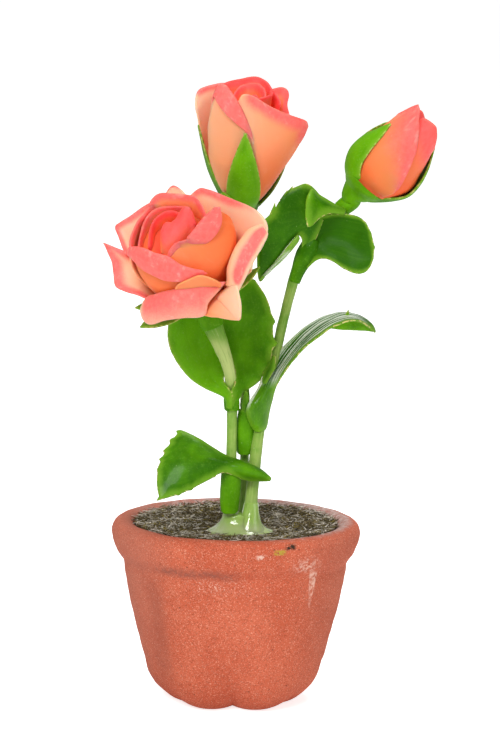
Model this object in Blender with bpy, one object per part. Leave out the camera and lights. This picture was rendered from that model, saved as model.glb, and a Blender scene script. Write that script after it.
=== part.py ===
"""A miniature potted rose modelled in clay, about 62 mm tall, in a terracotta pot of 25 mm.

Frame: the origin is the centre of the pot's flat underside, +Z is up, and the blooms face -Y.
Every size below is in millimetres. Pieces are shaped and joined in millimetres, and each
finished mesh is scaled to metres.
"""

import math
from collections import namedtuple

import bmesh
import bpy
from mathutils import Matrix, Vector

MM = 0.001
GAP = 0.3
TURN = 2 * math.pi

# Pot: six lobes at the foot that fade up the wall into a round, rolled rim.
POT_SEGMENTS = 48
LOBES = 6
LOBE_DEPTH = 2.0
LOBE_TOP = 9.0
GROOVE_DEPTH = 0.3
GROOVE_TOP = 16.0
FOOT_RADIUS = 5.4
HEEL_WIDTH = 3.1
HEEL_HEIGHT = 3.2
HEEL_STEPS = 4
POT_WALL = [(9.4, 5.5), (10.15, 8.5), (10.75, 11.2), (11.2, 13.6)]
POT_RIM = [(11.5, 14.6), (12.05, 15.6), (12.45, 16.8), (12.5, 17.5), (12.2, 18.1), (11.6, 18.4),
           (11.0, 18.4), (10.5, 18.15), (10.25, 17.6)]
POT_INSIDE = [(9.9, 15.0), (8.4, 9.0), (6.6, 5.5), (5.0, 3.4), (4.2, 2.6)]

# Soil: a plug that follows the inside of the pot and dips a little towards the plant.
SOIL_SEGMENTS = 40
SOIL_TOP = [(9.95, 17.95), (8.0, 17.8), (5.0, 17.65), (2.0, 17.6)]

# Glue foot: a flared blob in which the three stems stand.
FOOT_CENTRE = (0.4, -3.6)
FOOT_SEGMENTS = 20
FOOT_RINGS = [(3.3, 2.5, 17.9), (2.9, 2.1, 18.15), (2.25, 1.55, 18.6), (1.95, 1.3, 19.1), (1.85, 1.25, 19.5)]
STEM_START = 19.8

# Stems: points on the centre line with the radius there.
STEM_SIDES = 10
STEM_RINGS = 18
STEM_LEFT = [(-0.50, -4.0, STEM_START, 0.54), (-0.53, -4.1, 24.0, 0.52), (-0.54, -4.3, 30.4, 0.52),
             (-0.65, -4.8, 32.6, 0.58), (-0.95, -5.4, 34.6, 0.60), (-1.65, -6.1, 36.7, 0.76),
             (-2.35, -6.5, 38.4, 0.95), (-2.85, -6.6, 39.6, 1.15)]
STEM_RIGHT = [(1.47, -4.0, STEM_START, 0.62), (1.56, -3.8, 23.1, 0.58), (2.04, -3.5, 27.1, 0.58),
              (2.71, -3.1, 31.1, 0.55), (3.76, -2.4, 36.0, 0.50), (4.86, -1.8, 41.0, 0.50),
              (5.90, -1.2, 44.7, 0.56), (7.30, -0.9, 47.4, 0.56), (9.00, -1.1, 49.5, 0.56),
              (10.30, -1.5, 50.8, 0.62)]
STEM_BACK = [(0.75, -2.5, STEM_START, 0.45), (0.78, -2.3, 24.9, 0.45), (0.72, -1.9, 30.9, 0.45),
             (0.50, -1.2, 40.8, 0.45), (0.25, -0.7, 47.6, 0.50)]

# Blooms: the base of the petals, the way the bloom faces.
OPEN_BASE = (-4.0, -7.6, 42.5)
OPEN_FACING = (-0.262, -0.700, 0.665)
HALF_BASE = (0.2, -0.6, 50.4)
HALF_FACING = (0.02, -0.20, 0.98)
BUD_BASE = (11.4, -2.0, 52.0)
BUD_FACING = (0.66, -0.20, 0.73)

PETAL_THICKNESS = 0.45
SEPAL_THICKNESS = 0.40
PETAL_ACROSS = 5
PETAL_ALONG = 4
SEPAL_ACROSS = 4
CORE_SEGMENTS = 12
CUP_SIDES = 12
CUP_RINGS = 3

# turn: degrees round the bloom, 0 to the right, 90 to the back, 270 to the viewer.
# line: distance from the axis and height along the petal's middle, from foot to tip.
# wrap: how much flatter the petal is than a circle round the axis.
# roll: degrees that the two side edges turn outwards.
# drop: share of the length by which the two top corners round off, clockwise side first.
# flare: how much further out the anticlockwise corner stands than the clockwise one.
Petal = namedtuple("Petal", "turn line half_width wrap roll drop flare")

OPEN_CORE = [(0.9, 0.0), (2.0, 1.6), (2.4, 4.0), (1.9, 7.0), (0.8, 9.4)]
OPEN_PETALS = [
    Petal(150, [(0.6, 0.5), (1.9, 2.2), (2.2, 4.6), (2.0, 7.0), (1.9, 9.9)], 2.0, 1.0, 10, (0.1, 0.1), 0),
    Petal(275, [(0.6, 0.5), (2.2, 2.2), (2.6, 4.6), (2.4, 7.0), (2.5, 9.6)], 2.4, 1.0, 20, (0.1, 0.1), 0),
    Petal(30, [(0.6, 0.5), (2.2, 2.2), (2.7, 4.6), (2.5, 7.0), (2.6, 10.0)], 2.4, 1.0, 20, (0.1, 0.1), 0),
    Petal(70, [(0.8, 0.4), (3.0, 2.2), (3.8, 4.6), (3.8, 7.4), (4.0, 10.2)], 3.7, 1.0, 35, (0.14, 0.14), 0),
    Petal(165, [(0.8, 0.4), (2.8, 2.2), (3.4, 4.6), (3.3, 7.2), (3.5, 9.8)], 3.5, 1.0, 30, (0.14, 0.14), 0),
    Petal(335, [(0.9, 0.3), (3.2, 2.0), (4.2, 4.4), (4.2, 7.2), (4.9, 9.8)], 4.4, 1.05, 70, (0.2, 0.1), 0),
    Petal(247, [(0.9, 0.3), (3.2, 2.0), (4.2, 4.2), (4.4, 6.6), (5.1, 8.8)], 4.4, 1.05, 50, (0.15, 0.15), 0),
    Petal(94, [(1.0, 0.3), (3.4, 1.8), (4.8, 3.6), (5.8, 5.6), (7.0, 7.4)], 1.8, 1.2, 20, (0.3, 0.3), 0),
    Petal(132, [(1.1, 0.2), (3.2, 1.3), (4.7, 2.9), (5.8, 4.8), (7.2, 6.5)], 2.9, 1.4, 30, (0.2, 0.2), 0),
    Petal(44, [(1.1, 0.2), (3.2, 1.3), (4.6, 3.0), (5.5, 5.0), (7.2, 6.9)], 4.3, 1.3, 40, (0.15, 0.15), 0),
    Petal(176, [(1.2, 0.1), (3.4, 1.0), (5.0, 2.2), (6.4, 3.8), (8.1, 5.0)], 2.9, 1.6, 30, (0.15, 0.15), 0),
    Petal(352, [(1.2, 0.1), (3.4, 1.0), (5.0, 2.4), (6.2, 4.2), (8.1, 5.5)], 3.8, 1.4, 60, (0.15, 0.15), 0),
    Petal(316, [(1.3, 0.05), (3.4, 1.2), (4.6, 3.0), (5.6, 4.6), (8.6, 5.0)], 2.8, 1.8, 20, (0.15, 0.15), 0),
    Petal(262, [(1.3, 0.0), (3.3, 1.2), (4.4, 3.0), (4.9, 4.8), (7.3, 4.9)], 3.9, 1.8, 20, (0.15, 0.15), 0),
]
OPEN_SEPALS = [
    Petal(203, [(1.4, -0.4), (3.4, 0.1), (5.2, 1.0), (7.6, 2.2)], 1.3, 1.6, 10, (0, 0), 0),
    Petal(228, [(1.5, -0.5), (3.5, -0.5), (5.4, -0.1), (7.8, 0.1)], 1.4, 1.6, 10, (0, 0), 0),
    Petal(340, [(1.5, -0.4), (3.6, -0.1), (5.2, 0.6), (7.2, 1.8)], 1.3, 1.6, 10, (0, 0), 0),
    Petal(60, [(1.5, -0.4), (3.2, 0.0), (4.8, 0.9), (6.2, 2.0)], 1.3, 1.6, 10, (0, 0), 0),
    Petal(130, [(1.5, -0.4), (3.2, 0.0), (4.8, 0.9), (6.2, 2.0)], 1.3, 1.6, 10, (0, 0), 0),
]

HALF_CORE = [(0.8, 0.0), (2.0, 1.6), (3.0, 4.2), (2.9, 7.4), (1.7, 10.0)]
HALF_PETALS = [
    Petal(205, [(0.8, 0.4), (2.4, 2.2), (3.0, 5.0), (2.8, 8.0), (2.4, 10.8)], 2.8, 1.0, 10, (0.1, 0.1), 0),
    Petal(320, [(0.8, 0.4), (2.4, 2.2), (3.0, 5.0), (2.8, 8.0), (2.6, 10.8)], 3.0, 1.0, 20, (0.1, 0.1), 0),
    Petal(85, [(0.8, 0.4), (2.6, 2.2), (3.5, 5.0), (3.9, 8.0), (4.6, 11.4)], 3.4, 1.0, 20, (0.12, 0.12), 0),
    Petal(160, [(0.9, 0.2), (2.7, 2.0), (3.7, 4.6), (4.1, 7.4), (4.6, 10.5)], 3.6, 1.0, 20, (0.12, 0.12), 0),
    Petal(40, [(0.9, 0.2), (2.7, 2.0), (3.9, 4.6), (4.3, 7.4), (4.8, 10.4)], 2.6, 1.0, 30, (0.16, 0.16), 0),
    Petal(225, [(1.0, 0.1), (2.7, 1.9), (3.6, 4.6), (3.6, 7.6), (3.4, 11.0)], 4.4, 1.0, 60, (0.05, 0.4), 0),
    Petal(325, [(1.0, 0.0), (2.8, 1.8), (3.9, 4.4), (4.2, 7.2), (4.4, 9.6)], 4.8, 1.05, 36, (0.1, 0.1), 1.8),
]
HALF_SEPALS = [
    Petal(269, [(1.4, -0.5), (2.8, 1.2), (3.7, 3.4), (4.1, 5.8), (3.7, 8.1)], 1.75, 1.0, 0, (0, 0), 0),
    Petal(185, [(1.4, -0.5), (2.8, 1.2), (3.8, 3.4), (4.4, 5.8), (4.6, 8.0)], 1.5, 1.0, 0, (0, 0), 0),
    Petal(110, [(1.4, -0.5), (2.9, 1.2), (4.0, 3.4), (4.7, 5.8), (4.9, 7.6)], 1.5, 1.0, 0, (0, 0), 0),
    Petal(35, [(1.4, -0.5), (2.9, 1.2), (4.1, 3.4), (4.9, 5.8), (5.1, 7.6)], 1.5, 1.0, 0, (0, 0), 0),
]

BUD_CORE = [(0.9, 0.0), (2.3, 1.3), (2.6, 3.2), (2.2, 5.6), (1.5, 8.0), (0.5, 10.2)]
BUD_PETALS = [
    Petal(345, [(0.9, 0.1), (2.7, 1.4), (3.0, 3.2), (2.7, 5.6), (2.0, 8.0), (1.2, 10.1)],
          2.6, 1.0, 10, (0.2, 0.2), 0),
    Petal(95, [(0.9, 0.1), (2.6, 1.4), (2.9, 3.2), (2.6, 5.6), (1.8, 8.0), (0.9, 10.2)],
          2.6, 1.0, 10, (0.2, 0.2), 0),
    Petal(220, [(0.9, 0.1), (2.8, 1.4), (3.1, 3.2), (2.8, 5.6), (2.1, 8.0), (1.2, 10.5)],
          3.3, 1.0, 10, (0.3, 0.3), 0),
]
BUD_SEPALS = [
    Petal(184, [(0.8, -0.6), (2.0, 0.3), (3.2, 2.0), (3.5, 4.0), (3.05, 5.8), (2.5, 7.5)],
          2.1, 1.1, 0, (0, 0), 0),
    Petal(4, [(0.8, -0.6), (2.0, 0.5), (3.5, 2.1), (4.0, 4.2), (3.5, 6.1), (2.5, 8.3)],
          2.2, 1.1, 0, (0, 0), 0),
    Petal(122, [(0.8, -0.6), (2.0, 0.4), (3.3, 2.2), (3.5, 4.4), (3.0, 6.2), (2.7, 7.2)],
          1.6, 1.1, 0, (0, 0), 0),
    Petal(64, [(0.8, -0.5), (2.1, 0.4), (3.4, 2.2), (3.6, 4.4), (3.2, 6.2), (2.9, 7.2)],
          1.5, 1.2, 0, (0, 0), 0),
]

# Leaves: two margins and the rib between them, each from the leaf's foot to its tip.
# fold: 0 for an even dish from margin to margin, 1 for a sharp crease at the rib.
Leaf = namedtuple("Leaf", "left rib right fold")

LEAF_THICKNESS = 0.40
LEAF_ACROSS = 6
LEAF_ALONG = 8
LEAF_END = 0.02
SHEATH_SIDES = 10
SHEATH_RINGS = 6
LEAVES = {
    "leaf_low": Leaf(
        [(3.1, -4.6, 23.7), (0.3, -4.9, 25.2), (-2.9, -4.4, 26.7), (-4.8, -4.0, 27.6), (-6.5, -3.7, 27.8)],
        [(3.0, -5.3, 23.8), (0.8, -5.9, 24.9), (-2.4, -6.0, 25.5), (-5.0, -6.0, 25.6), (-7.9, -5.9, 24.6)],
        [(2.8, -6.0, 23.5), (1.0, -6.4, 24.6), (-1.4, -6.8, 24.1), (-3.8, -7.4, 23.1), (-7.4, -8.0, 21.7)],
        0.2),
    "leaf_left": Leaf(
        [(-1.0, -4.7, 30.9), (-4.1, -5.0, 33.1), (-6.1, -5.4, 34.9), (-7.0, -5.8, 37.5), (-6.0, -5.6, 41.2)],
        [(-0.8, -4.0, 31.0), (-2.3, -3.7, 33.4), (-3.7, -3.6, 35.9), (-4.6, -3.9, 38.4), (-5.0, -4.8, 41.4)],
        [(-0.6, -3.5, 31.0), (-0.9, -3.0, 33.2), (-1.7, -2.9, 35.6), (-2.6, -3.1, 38.4), (-4.2, -4.2, 41.3)],
        0.4),
    "leaf_tall": Leaf(
        [(-0.2, -3.6, 31.0), (-0.6, -3.0, 33.4), (-0.9, -2.6, 36.9), (-0.8, -2.8, 40.9), (0.4, -2.9, 44.4)],
        [(0.1, -3.7, 30.9), (0.9, -2.9, 33.6), (1.4, -2.4, 36.8), (1.4, -2.4, 40.6), (0.9, -2.7, 44.4)],
        [(0.3, -3.9, 30.9), (2.7, -3.5, 33.6), (3.5, -3.2, 36.2), (3.3, -2.8, 39.6), (1.5, -2.6, 43.6)],
        0.4),
    "leaf_middle": Leaf(
        [(0.5, -3.7, 28.0), (0.45, -3.7, 29.2), (0.5, -3.9, 30.4), (0.6, -4.2, 31.4)],
        [(0.8, -3.9, 28.0), (0.8, -4.0, 29.2), (0.85, -4.2, 30.4), (0.85, -4.4, 31.6)],
        [(1.1, -3.7, 28.0), (1.15, -3.7, 29.2), (1.15, -3.9, 30.4), (1.1, -4.2, 31.4)],
        0.0),
    "leaf_arched": Leaf(
        [(2.6, -2.4, 31.2), (3.5, -1.4, 33.9), (4.7, -0.8, 35.9), (6.4, -0.8, 38.0), (8.9, -1.4, 39.7),
         (10.7, -2.0, 40.0), (12.6, -2.9, 39.2), (13.5, -3.4, 38.2)],
        [(2.9, -3.7, 31.2), (3.9, -3.0, 33.6), (5.2, -2.6, 35.7), (7.0, -2.6, 37.9), (9.2, -3.2, 39.3),
         (10.9, -3.6, 39.5), (12.4, -3.6, 39.0), (13.5, -3.5, 38.2)],
        [(3.0, -4.2, 31.2), (4.1, -4.3, 33.2), (5.6, -4.6, 35.3), (7.6, -5.0, 37.4), (9.5, -5.3, 38.7),
         (10.9, -5.0, 38.6), (12.3, -4.2, 38.4), (13.4, -3.6, 38.1)],
        0.3),
    "leaf_upper_left": Leaf(
        [(5.5, -2.8, 46.4), (4.2, -2.7, 44.9), (1.9, -3.0, 43.0), (0.3, -3.5, 45.2), (0.9, -3.4, 48.3),
         (2.5, -3.1, 50.5)],
        [(5.7, -2.9, 46.8), (5.2, -3.1, 47.6), (4.5, -3.2, 48.4), (3.8, -3.3, 49.3), (3.3, -3.3, 50.2),
         (3.0, -3.1, 51.0)],
        [(5.9, -2.9, 47.2), (6.2, -2.9, 49.4), (6.5, -2.9, 51.4), (6.2, -2.8, 52.7), (4.9, -2.8, 52.2),
         (3.6, -3.0, 51.4)],
        0.1),
    "leaf_upper_right": Leaf(
        [(7.0, -2.3, 46.6), (7.7, -2.8, 48.3), (9.0, -3.3, 49.3), (11.0, -3.9, 49.6), (12.6, -3.7, 48.8),
         (13.2, -3.4, 47.9)],
        [(6.9, -2.2, 46.0), (7.9, -2.0, 46.8), (9.2, -2.1, 47.2), (10.7, -2.4, 47.3), (12.2, -2.8, 47.3),
         (13.3, -3.3, 47.3)],
        [(6.9, -2.2, 45.4), (7.9, -2.7, 45.3), (9.2, -3.2, 45.0), (10.6, -3.6, 44.5), (12.1, -3.8, 44.5),
         (13.2, -3.4, 46.6)],
        0.1),
    "leaf_curled": Leaf(
        [(10.3, -2.3, 50.6), (9.2, -2.6, 51.2), (8.1, -2.9, 51.8), (7.3, -3.3, 52.3), (6.9, -3.8, 52.5)],
        [(10.1, -2.9, 50.3), (8.9, -4.1, 50.7), (7.6, -5.0, 51.0), (6.8, -5.4, 51.0), (6.4, -5.5, 50.6)],
        [(9.9, -2.5, 50.0), (9.0, -3.3, 50.0), (8.1, -4.0, 49.8), (7.3, -4.6, 49.3), (6.8, -4.9, 48.9)],
        0.0),
}
# Sheaths: the part of a leaf that wraps its stem, as a tube from its foot to the blade.
SHEATHS = {
    "leaf_low": [(-0.62, -4.7, 20.0, 0.70), (-0.60, -4.9, 21.4, 0.88), (-0.55, -5.1, 23.0, 0.92),
                 (-0.50, -5.6, 24.6, 0.85), (-0.45, -5.7, 25.2, 0.45)],
    "leaf_left": [(-0.75, -4.5, 30.2, 0.60), (-0.9, -4.3, 31.4, 0.75), (-1.4, -4.0, 32.4, 0.35)],
    "leaf_tall": [(-0.15, -3.9, 30.2, 0.45), (0.05, -3.7, 31.4, 0.60), (0.5, -3.3, 32.6, 0.35)],
    "leaf_middle": [(0.76, -3.5, 25.3, 0.25), (0.76, -3.6, 26.4, 0.44), (0.80, -3.6, 28.4, 0.46),
                    (0.85, -3.6, 30.2, 0.30)],
    "leaf_arched": [(2.20, -3.9, 28.0, 0.50), (2.10, -4.0, 29.4, 0.95), (2.05, -4.1, 30.2, 1.10),
                    (2.45, -4.0, 31.6, 1.00), (3.1, -3.6, 32.8, 0.60)],
    "leaf_upper_left": [(5.0, -2.4, 43.6, 0.50), (5.35, -2.6, 45.3, 0.62), (5.65, -2.85, 46.9, 0.50)],
    "leaf_upper_right": [(6.6, -1.9, 44.2, 0.45), (7.2, -2.1, 45.4, 0.60), (7.6, -2.3, 46.4, 0.45)],
    "leaf_curled": [(10.4, -2.5, 50.2, 0.40), (10.1, -2.6, 50.3, 0.45), (9.6, -3.0, 50.4, 0.40)],
}

COLOURS = {
    "terracotta": ((0.68, 0.18, 0.10, 1.0), 0.92),
    "soil": ((0.14, 0.11, 0.07, 1.0), 0.95),
    "glue": ((0.42, 0.52, 0.18, 1.0), 0.15),
    "stem": ((0.34, 0.52, 0.10, 1.0), 0.40),
    "leaf": ((0.06, 0.26, 0.02, 1.0), 0.25),
    "petal": ((0.95, 0.26, 0.14, 1.0), 0.45),
}


def on_curve(points, t):
    """The place at t, from 0 to 1, on a smooth curve through the points."""
    spans = len(points) - 1
    at = min(max(t, 0.0), 1.0) * spans
    i = min(int(at), spans - 1)
    f = at - i
    p1, p2 = Vector(points[i]), Vector(points[i + 1])
    p0 = Vector(points[i - 1]) if i > 0 else p1 * 2 - p2
    p3 = Vector(points[i + 2]) if i + 2 <= spans else p2 * 2 - p1
    return 0.5 * (2 * p1 + (p2 - p0) * f + (2 * p0 - 5 * p1 + 4 * p2 - p3) * f ** 2
                  + (3 * p1 - p0 - 3 * p2 + p3) * f ** 3)


def material(name):
    """One plain finish, made once."""
    found = bpy.data.materials.get(name)
    if found:
        return found
    colour, roughness = COLOURS[name]
    made = bpy.data.materials.new(name)
    made.use_nodes = True
    shader = made.node_tree.nodes["Principled BSDF"]
    shader.inputs["Base Color"].default_value = colour
    shader.inputs["Roughness"].default_value = roughness
    shader.inputs["Metallic"].default_value = 0.0
    return made


def linked(name, mesh):
    """A mesh put into the scene as an object."""
    made = bpy.data.objects.new(name, mesh)
    bpy.context.scene.collection.objects.link(made)
    return made


def solid_of_rings(name, rings):
    """A closed body through rings of as many points each, with a flat cap at each end."""
    bm = bmesh.new()
    rows = [[bm.verts.new(point) for point in ring] for ring in rings]
    count = len(rows[0])
    for low, high in zip(rows, rows[1:]):
        for i in range(count):
            j = (i + 1) % count
            bm.faces.new((low[i], low[j], high[j], high[i]))
    bm.faces.new(reversed(rows[0]))
    bm.faces.new(rows[-1])
    bmesh.ops.recalc_face_normals(bm, faces=bm.faces)
    mesh = bpy.data.meshes.new(name)
    bm.to_mesh(mesh)
    bm.free()
    return linked(name, mesh)


def tube(name, path, sides=STEM_SIDES, rings=STEM_RINGS, extra=0.0):
    """A round limb along points that carry their radius, made fatter all round by extra."""
    stations = [on_curve([point[:3] for point in path], i / rings) for i in range(rings + 1)]
    radii = [on_curve([(point[3], 0, 0) for point in path], i / rings)[0] + extra for i in range(rings + 1)]
    side = Vector((1, 0, 0))
    loops = []
    for i, centre in enumerate(stations):
        ahead = stations[min(i + 1, rings)] - stations[max(i - 1, 0)]
        ahead.normalize()
        side = (side - ahead * side.dot(ahead)).normalized()
        up = ahead.cross(side)
        loops.append([centre + (side * math.cos(a) + up * math.sin(a)) * radii[i]
                      for a in (TURN * k / sides for k in range(sides))])
    return solid_of_rings(name, loops)


def rings_of(outline, segments, shape=None):
    """Rings round Z for an outline of (radius, height), its radius changed by shape."""
    rings = []
    for r, z in outline:
        ring = []
        for k in range(segments):
            angle = TURN * k / segments
            radius = shape(r, z, angle) if shape else r
            ring.append(Vector((radius * math.cos(angle), radius * math.sin(angle), z)))
        rings.append(ring)
    return rings


def sheet(name, rows, thickness):
    """A thin curved sheet through a grid of points, thickened to both sides."""
    bm = bmesh.new()
    grid = [[bm.verts.new(point) for point in row] for row in rows]
    for low, high in zip(grid, grid[1:]):
        for i in range(len(low) - 1):
            bm.faces.new((low[i], low[i + 1], high[i + 1], high[i]))
    mesh = bpy.data.meshes.new(name)
    bm.to_mesh(mesh)
    bm.free()
    made = linked(name, mesh)
    thicken = made.modifiers.new("Thickness", "SOLIDIFY")
    thicken.thickness = thickness
    thicken.offset = 0.0
    thicken.use_even_offset = False
    return made


def applied(obj):
    """The object with its modifiers turned into plain mesh."""
    graph = bpy.context.evaluated_depsgraph_get()
    mesh = bpy.data.meshes.new_from_object(obj.evaluated_get(graph))
    obj.modifiers.clear()
    obj.data = mesh
    return obj


def combined(body, others, operation):
    """The body with all the others joined to it, or cut out of it, by one exact Boolean."""
    group = bpy.data.collections.new("operands")
    bpy.context.scene.collection.children.link(group)
    for other in others:
        group.objects.link(other)
    boolean = body.modifiers.new("Boolean", "BOOLEAN")
    boolean.operation = operation
    boolean.operand_type = "COLLECTION"
    boolean.collection = group
    boolean.solver = "EXACT"
    applied(body)
    for other in others:
        bpy.data.objects.remove(other)
    bpy.data.collections.remove(group)
    return body


def enclosed(faces):
    """Three times the volume inside a closed set of faces."""
    return sum(face.verts[0].co.dot(face.normal) * face.calc_area() for face in faces)


def keep_main_body(obj):
    """Drops loose scraps, and the walls of any hollow that joining has sealed."""
    bm = bmesh.new()
    bm.from_mesh(obj.data)
    left = set(bm.faces)
    bodies = []
    while left:
        stack = [left.pop()]
        body = list(stack)
        while stack:
            near = {other for edge in stack.pop().edges for other in edge.link_faces} & left
            left -= near
            stack.extend(near)
            body.extend(near)
        bodies.append(body)
    bodies.sort(key=enclosed)
    for body in bodies[:-1]:
        bmesh.ops.delete(bm, geom=body, context="FACES")
    bm.to_mesh(obj.data)
    bm.free()
    return obj


def finished(obj, finish):
    """The piece in metres, shaded smooth and with its finish."""
    obj.data.transform(Matrix.Scale(MM, 4))
    obj.data.materials.clear()
    obj.data.materials.append(material(finish))
    obj.data.shade_smooth()
    obj.data.set_sharp_from_angle(angle=math.radians(40))
    return obj


def lobed(r, z, angle):
    """The pot's outside radius, drawn in at the grooves between its lobes."""
    between = 1 - abs(math.cos(LOBES / 2 * angle))
    at_foot = max(1 - z / LOBE_TOP, 0.0) ** 2
    up_wall = max(1 - z / GROOVE_TOP, 0.0)
    return r - between * (LOBE_DEPTH * at_foot + GROOVE_DEPTH * up_wall)


def make_pot():
    turns = [math.pi / 2 * i / HEEL_STEPS for i in range(HEEL_STEPS + 1)]
    heel = [(FOOT_RADIUS + HEEL_WIDTH * math.sin(a), HEEL_HEIGHT * (1 - math.cos(a))) for a in turns]
    outside = rings_of(heel + POT_WALL, POT_SEGMENTS, lobed)
    inside = rings_of(POT_RIM + POT_INSIDE, POT_SEGMENTS)
    return finished(solid_of_rings("pot", outside + inside), "terracotta")


def make_soil():
    against_pot = [(r - GAP, z + GAP) for r, z in reversed(POT_INSIDE)]
    return finished(solid_of_rings("soil", rings_of(against_pot + SOIL_TOP, SOIL_SEGMENTS)), "soil")


def make_glue_foot():
    rings = []
    for across, deep, z in FOOT_RINGS:
        turns = [TURN * k / FOOT_SEGMENTS for k in range(FOOT_SEGMENTS)]
        rings.append([Vector((FOOT_CENTRE[0] + across * math.cos(a), FOOT_CENTRE[1] + deep * math.sin(a), z))
                      for a in turns])
    return finished(solid_of_rings("glue_foot", rings), "glue")


def petal_rows(petal, pointed):
    """The petal's grid of points in its bloom's own frame, axis along Z."""
    across = SEPAL_ACROSS if pointed else PETAL_ACROSS
    middle = [(r, h, 0) for r, h in petal.line]
    turn = math.radians(petal.turn)
    outward = Vector((math.cos(turn), math.sin(turn), 0))
    sideways = Vector((-math.sin(turn), math.cos(turn), 0))
    upward = Vector((0, 0, 1))
    rows = []
    for j in range(PETAL_ALONG + 1):
        t = j / PETAL_ALONG
        row = []
        for i in range(across + 1):
            s = 2 * i / across - 1
            down = t * (1 - petal.drop[s > 0] * abs(s) ** 2.5)
            r, h, _ = on_curve(middle, down)
            ahead = (on_curve(middle, down + 0.02) - on_curve(middle, down - 0.02)).normalized()
            if pointed:
                width = petal.half_width * max(math.sin(math.pi * (0.25 + 0.75 * t)) ** 0.8, 0.1)
            else:
                width = petal.half_width * (0.3 + 0.7 * math.sin(math.pi / 2 * min(t / 0.65, 1.0)))
            x, z = side_curve(s, width, width / (r * petal.wrap), math.radians(petal.roll) * t)
            out = r - ahead.y * z + petal.flare * s * t ** 2
            high = h + ahead.x * z - petal.flare / 2 * s * t ** 2
            row.append(outward * out + upward * high + sideways * x)
        rows.append(row)
    return rows


def side_curve(s, width, bend, roll, edge=0.7, steps=8):
    """Sideways and inward travel from a petal's centre line out to s, rolled back past edge."""
    x = z = 0.0
    for k in range(steps):
        at = abs(s) * (k + 0.5) / steps
        heading = bend * min(at, edge) - roll * max(0.0, (at - edge) / (1 - edge))
        x += math.cos(heading) * width * abs(s) / steps
        z += math.sin(heading) * width * abs(s) / steps
    return math.copysign(x, s), z


def bloom_frame(base, facing):
    """The matrix that stands a bloom's own frame on its base, turned the way it faces."""
    up = Vector(facing).normalized()
    right = (Vector((1, 0, 0)) - up * up.x).normalized()
    back = up.cross(right)
    axes = Matrix((right, back, up)).transposed().to_4x4()
    return Matrix.Translation(base) @ axes


def sheets_of(petals, frame, thickness, pointed):
    """A thickened sheet for each petal, standing in its bloom's frame."""
    made = []
    for petal in petals:
        rows = [[frame @ point for point in row] for row in petal_rows(petal, pointed)]
        made.append(sheet("petal", rows, thickness))
    return made


def make_bloom(name, base, facing, core, petals, sepals):
    """One bloom: a core with petals fused round it, cut clear of its sepals."""
    frame = bloom_frame(base, facing)
    body = solid_of_rings(name, rings_of(core, CORE_SEGMENTS))
    body.data.transform(frame)
    combined(body, sheets_of(petals, frame, PETAL_THICKNESS, False), "UNION")
    clearance = SEPAL_THICKNESS + 2 * GAP
    wider = [sepal._replace(half_width=sepal.half_width + GAP) for sepal in sepals]
    combined(body, sheets_of(wider, frame, clearance, True), "DIFFERENCE")
    return finished(keep_main_body(body), "petal")


def make_calyx(name, base, facing, sepals, cup, stem):
    """The green cup under a bloom with its sepals, from just past the stem's end to the petals."""
    frame = bloom_frame(base, facing)
    end = Vector(stem[-1][:3])
    ahead = (end - Vector(stem[-2][:3])).normalized()
    radius = stem[-1][3]
    middle = frame @ Vector((0, 0, cup[0]))
    halfway = (middle - end).length / 2
    path = [(*(end + ahead * GAP), radius), (*(end + ahead * halfway), radius),
            (*middle, cup[1]), (*(frame @ Vector((0, 0, -GAP))), cup[2])]
    body = tube(name, path, CUP_SIDES, CUP_RINGS)
    combined(body, sheets_of(sepals, frame, SEPAL_THICKNESS, True), "UNION")
    return finished(keep_main_body(body), "leaf")


def leaf_rows(leaf):
    """The blade's grid of points, from margin to margin and from foot to tip."""
    rows = []
    for j in range(LEAF_ALONG + 1):
        t = LEAF_END + (1 - 2 * LEAF_END) * j / LEAF_ALONG
        left, rib, right = [on_curve(rail, t) for rail in (leaf.left, leaf.rib, leaf.right)]
        row = []
        for i in range(LEAF_ACROSS + 1):
            s = 2 * i / LEAF_ACROSS - 1
            dish = rib + (right - left) * (s / 2) + ((right + left) / 2 - rib) * s ** 2
            crease = rib + ((right if s > 0 else left) - rib) * abs(s)
            row.append(dish.lerp(crease, leaf.fold))
        rows.append(row)
    return rows


def make_leaf(name, leaf, limbs):
    """A blade fused to the sheath that wraps its stem, cut clear of the limbs round it."""
    body = tube(name, SHEATHS[name], SHEATH_SIDES, SHEATH_RINGS)
    combined(body, [sheet("blade", leaf_rows(leaf), LEAF_THICKNESS)], "UNION")
    combined(body, [tube("clearance", limb, extra=GAP) for limb in limbs], "DIFFERENCE")
    return finished(keep_main_body(body), "leaf")


def main():
    for obj in list(bpy.data.objects):
        bpy.data.objects.remove(obj, do_unlink=True)
    make_pot()
    make_soil()
    make_glue_foot()
    stems = {"stem_left": STEM_LEFT, "stem_right": STEM_RIGHT, "stem_back": STEM_BACK}
    for name, path in stems.items():
        finished(tube(name, path), "stem")
    for name, leaf in LEAVES.items():
        limbs = list(stems.values())
        if name == "leaf_middle":
            limbs += [SHEATHS["leaf_arched"], SHEATHS["leaf_tall"], SHEATHS["leaf_left"]]
        make_leaf(name, leaf, limbs)
    make_bloom("open_rose", OPEN_BASE, OPEN_FACING, OPEN_CORE, OPEN_PETALS, OPEN_SEPALS)
    make_calyx("open_rose_calyx", OPEN_BASE, OPEN_FACING, OPEN_SEPALS, (-1.5, 1.5, 1.7), STEM_LEFT)
    make_bloom("half_open_rose", HALF_BASE, HALF_FACING, HALF_CORE, HALF_PETALS, HALF_SEPALS)
    make_calyx("half_open_rose_calyx", HALF_BASE, HALF_FACING, HALF_SEPALS, (-1.2, 1.2, 1.7), STEM_BACK)
    make_bloom("rosebud", BUD_BASE, BUD_FACING, BUD_CORE, BUD_PETALS, BUD_SEPALS)
    make_calyx("rosebud_calyx", BUD_BASE, BUD_FACING, BUD_SEPALS, (-0.7, 1.0, 1.3), STEM_RIGHT)


main()
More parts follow.
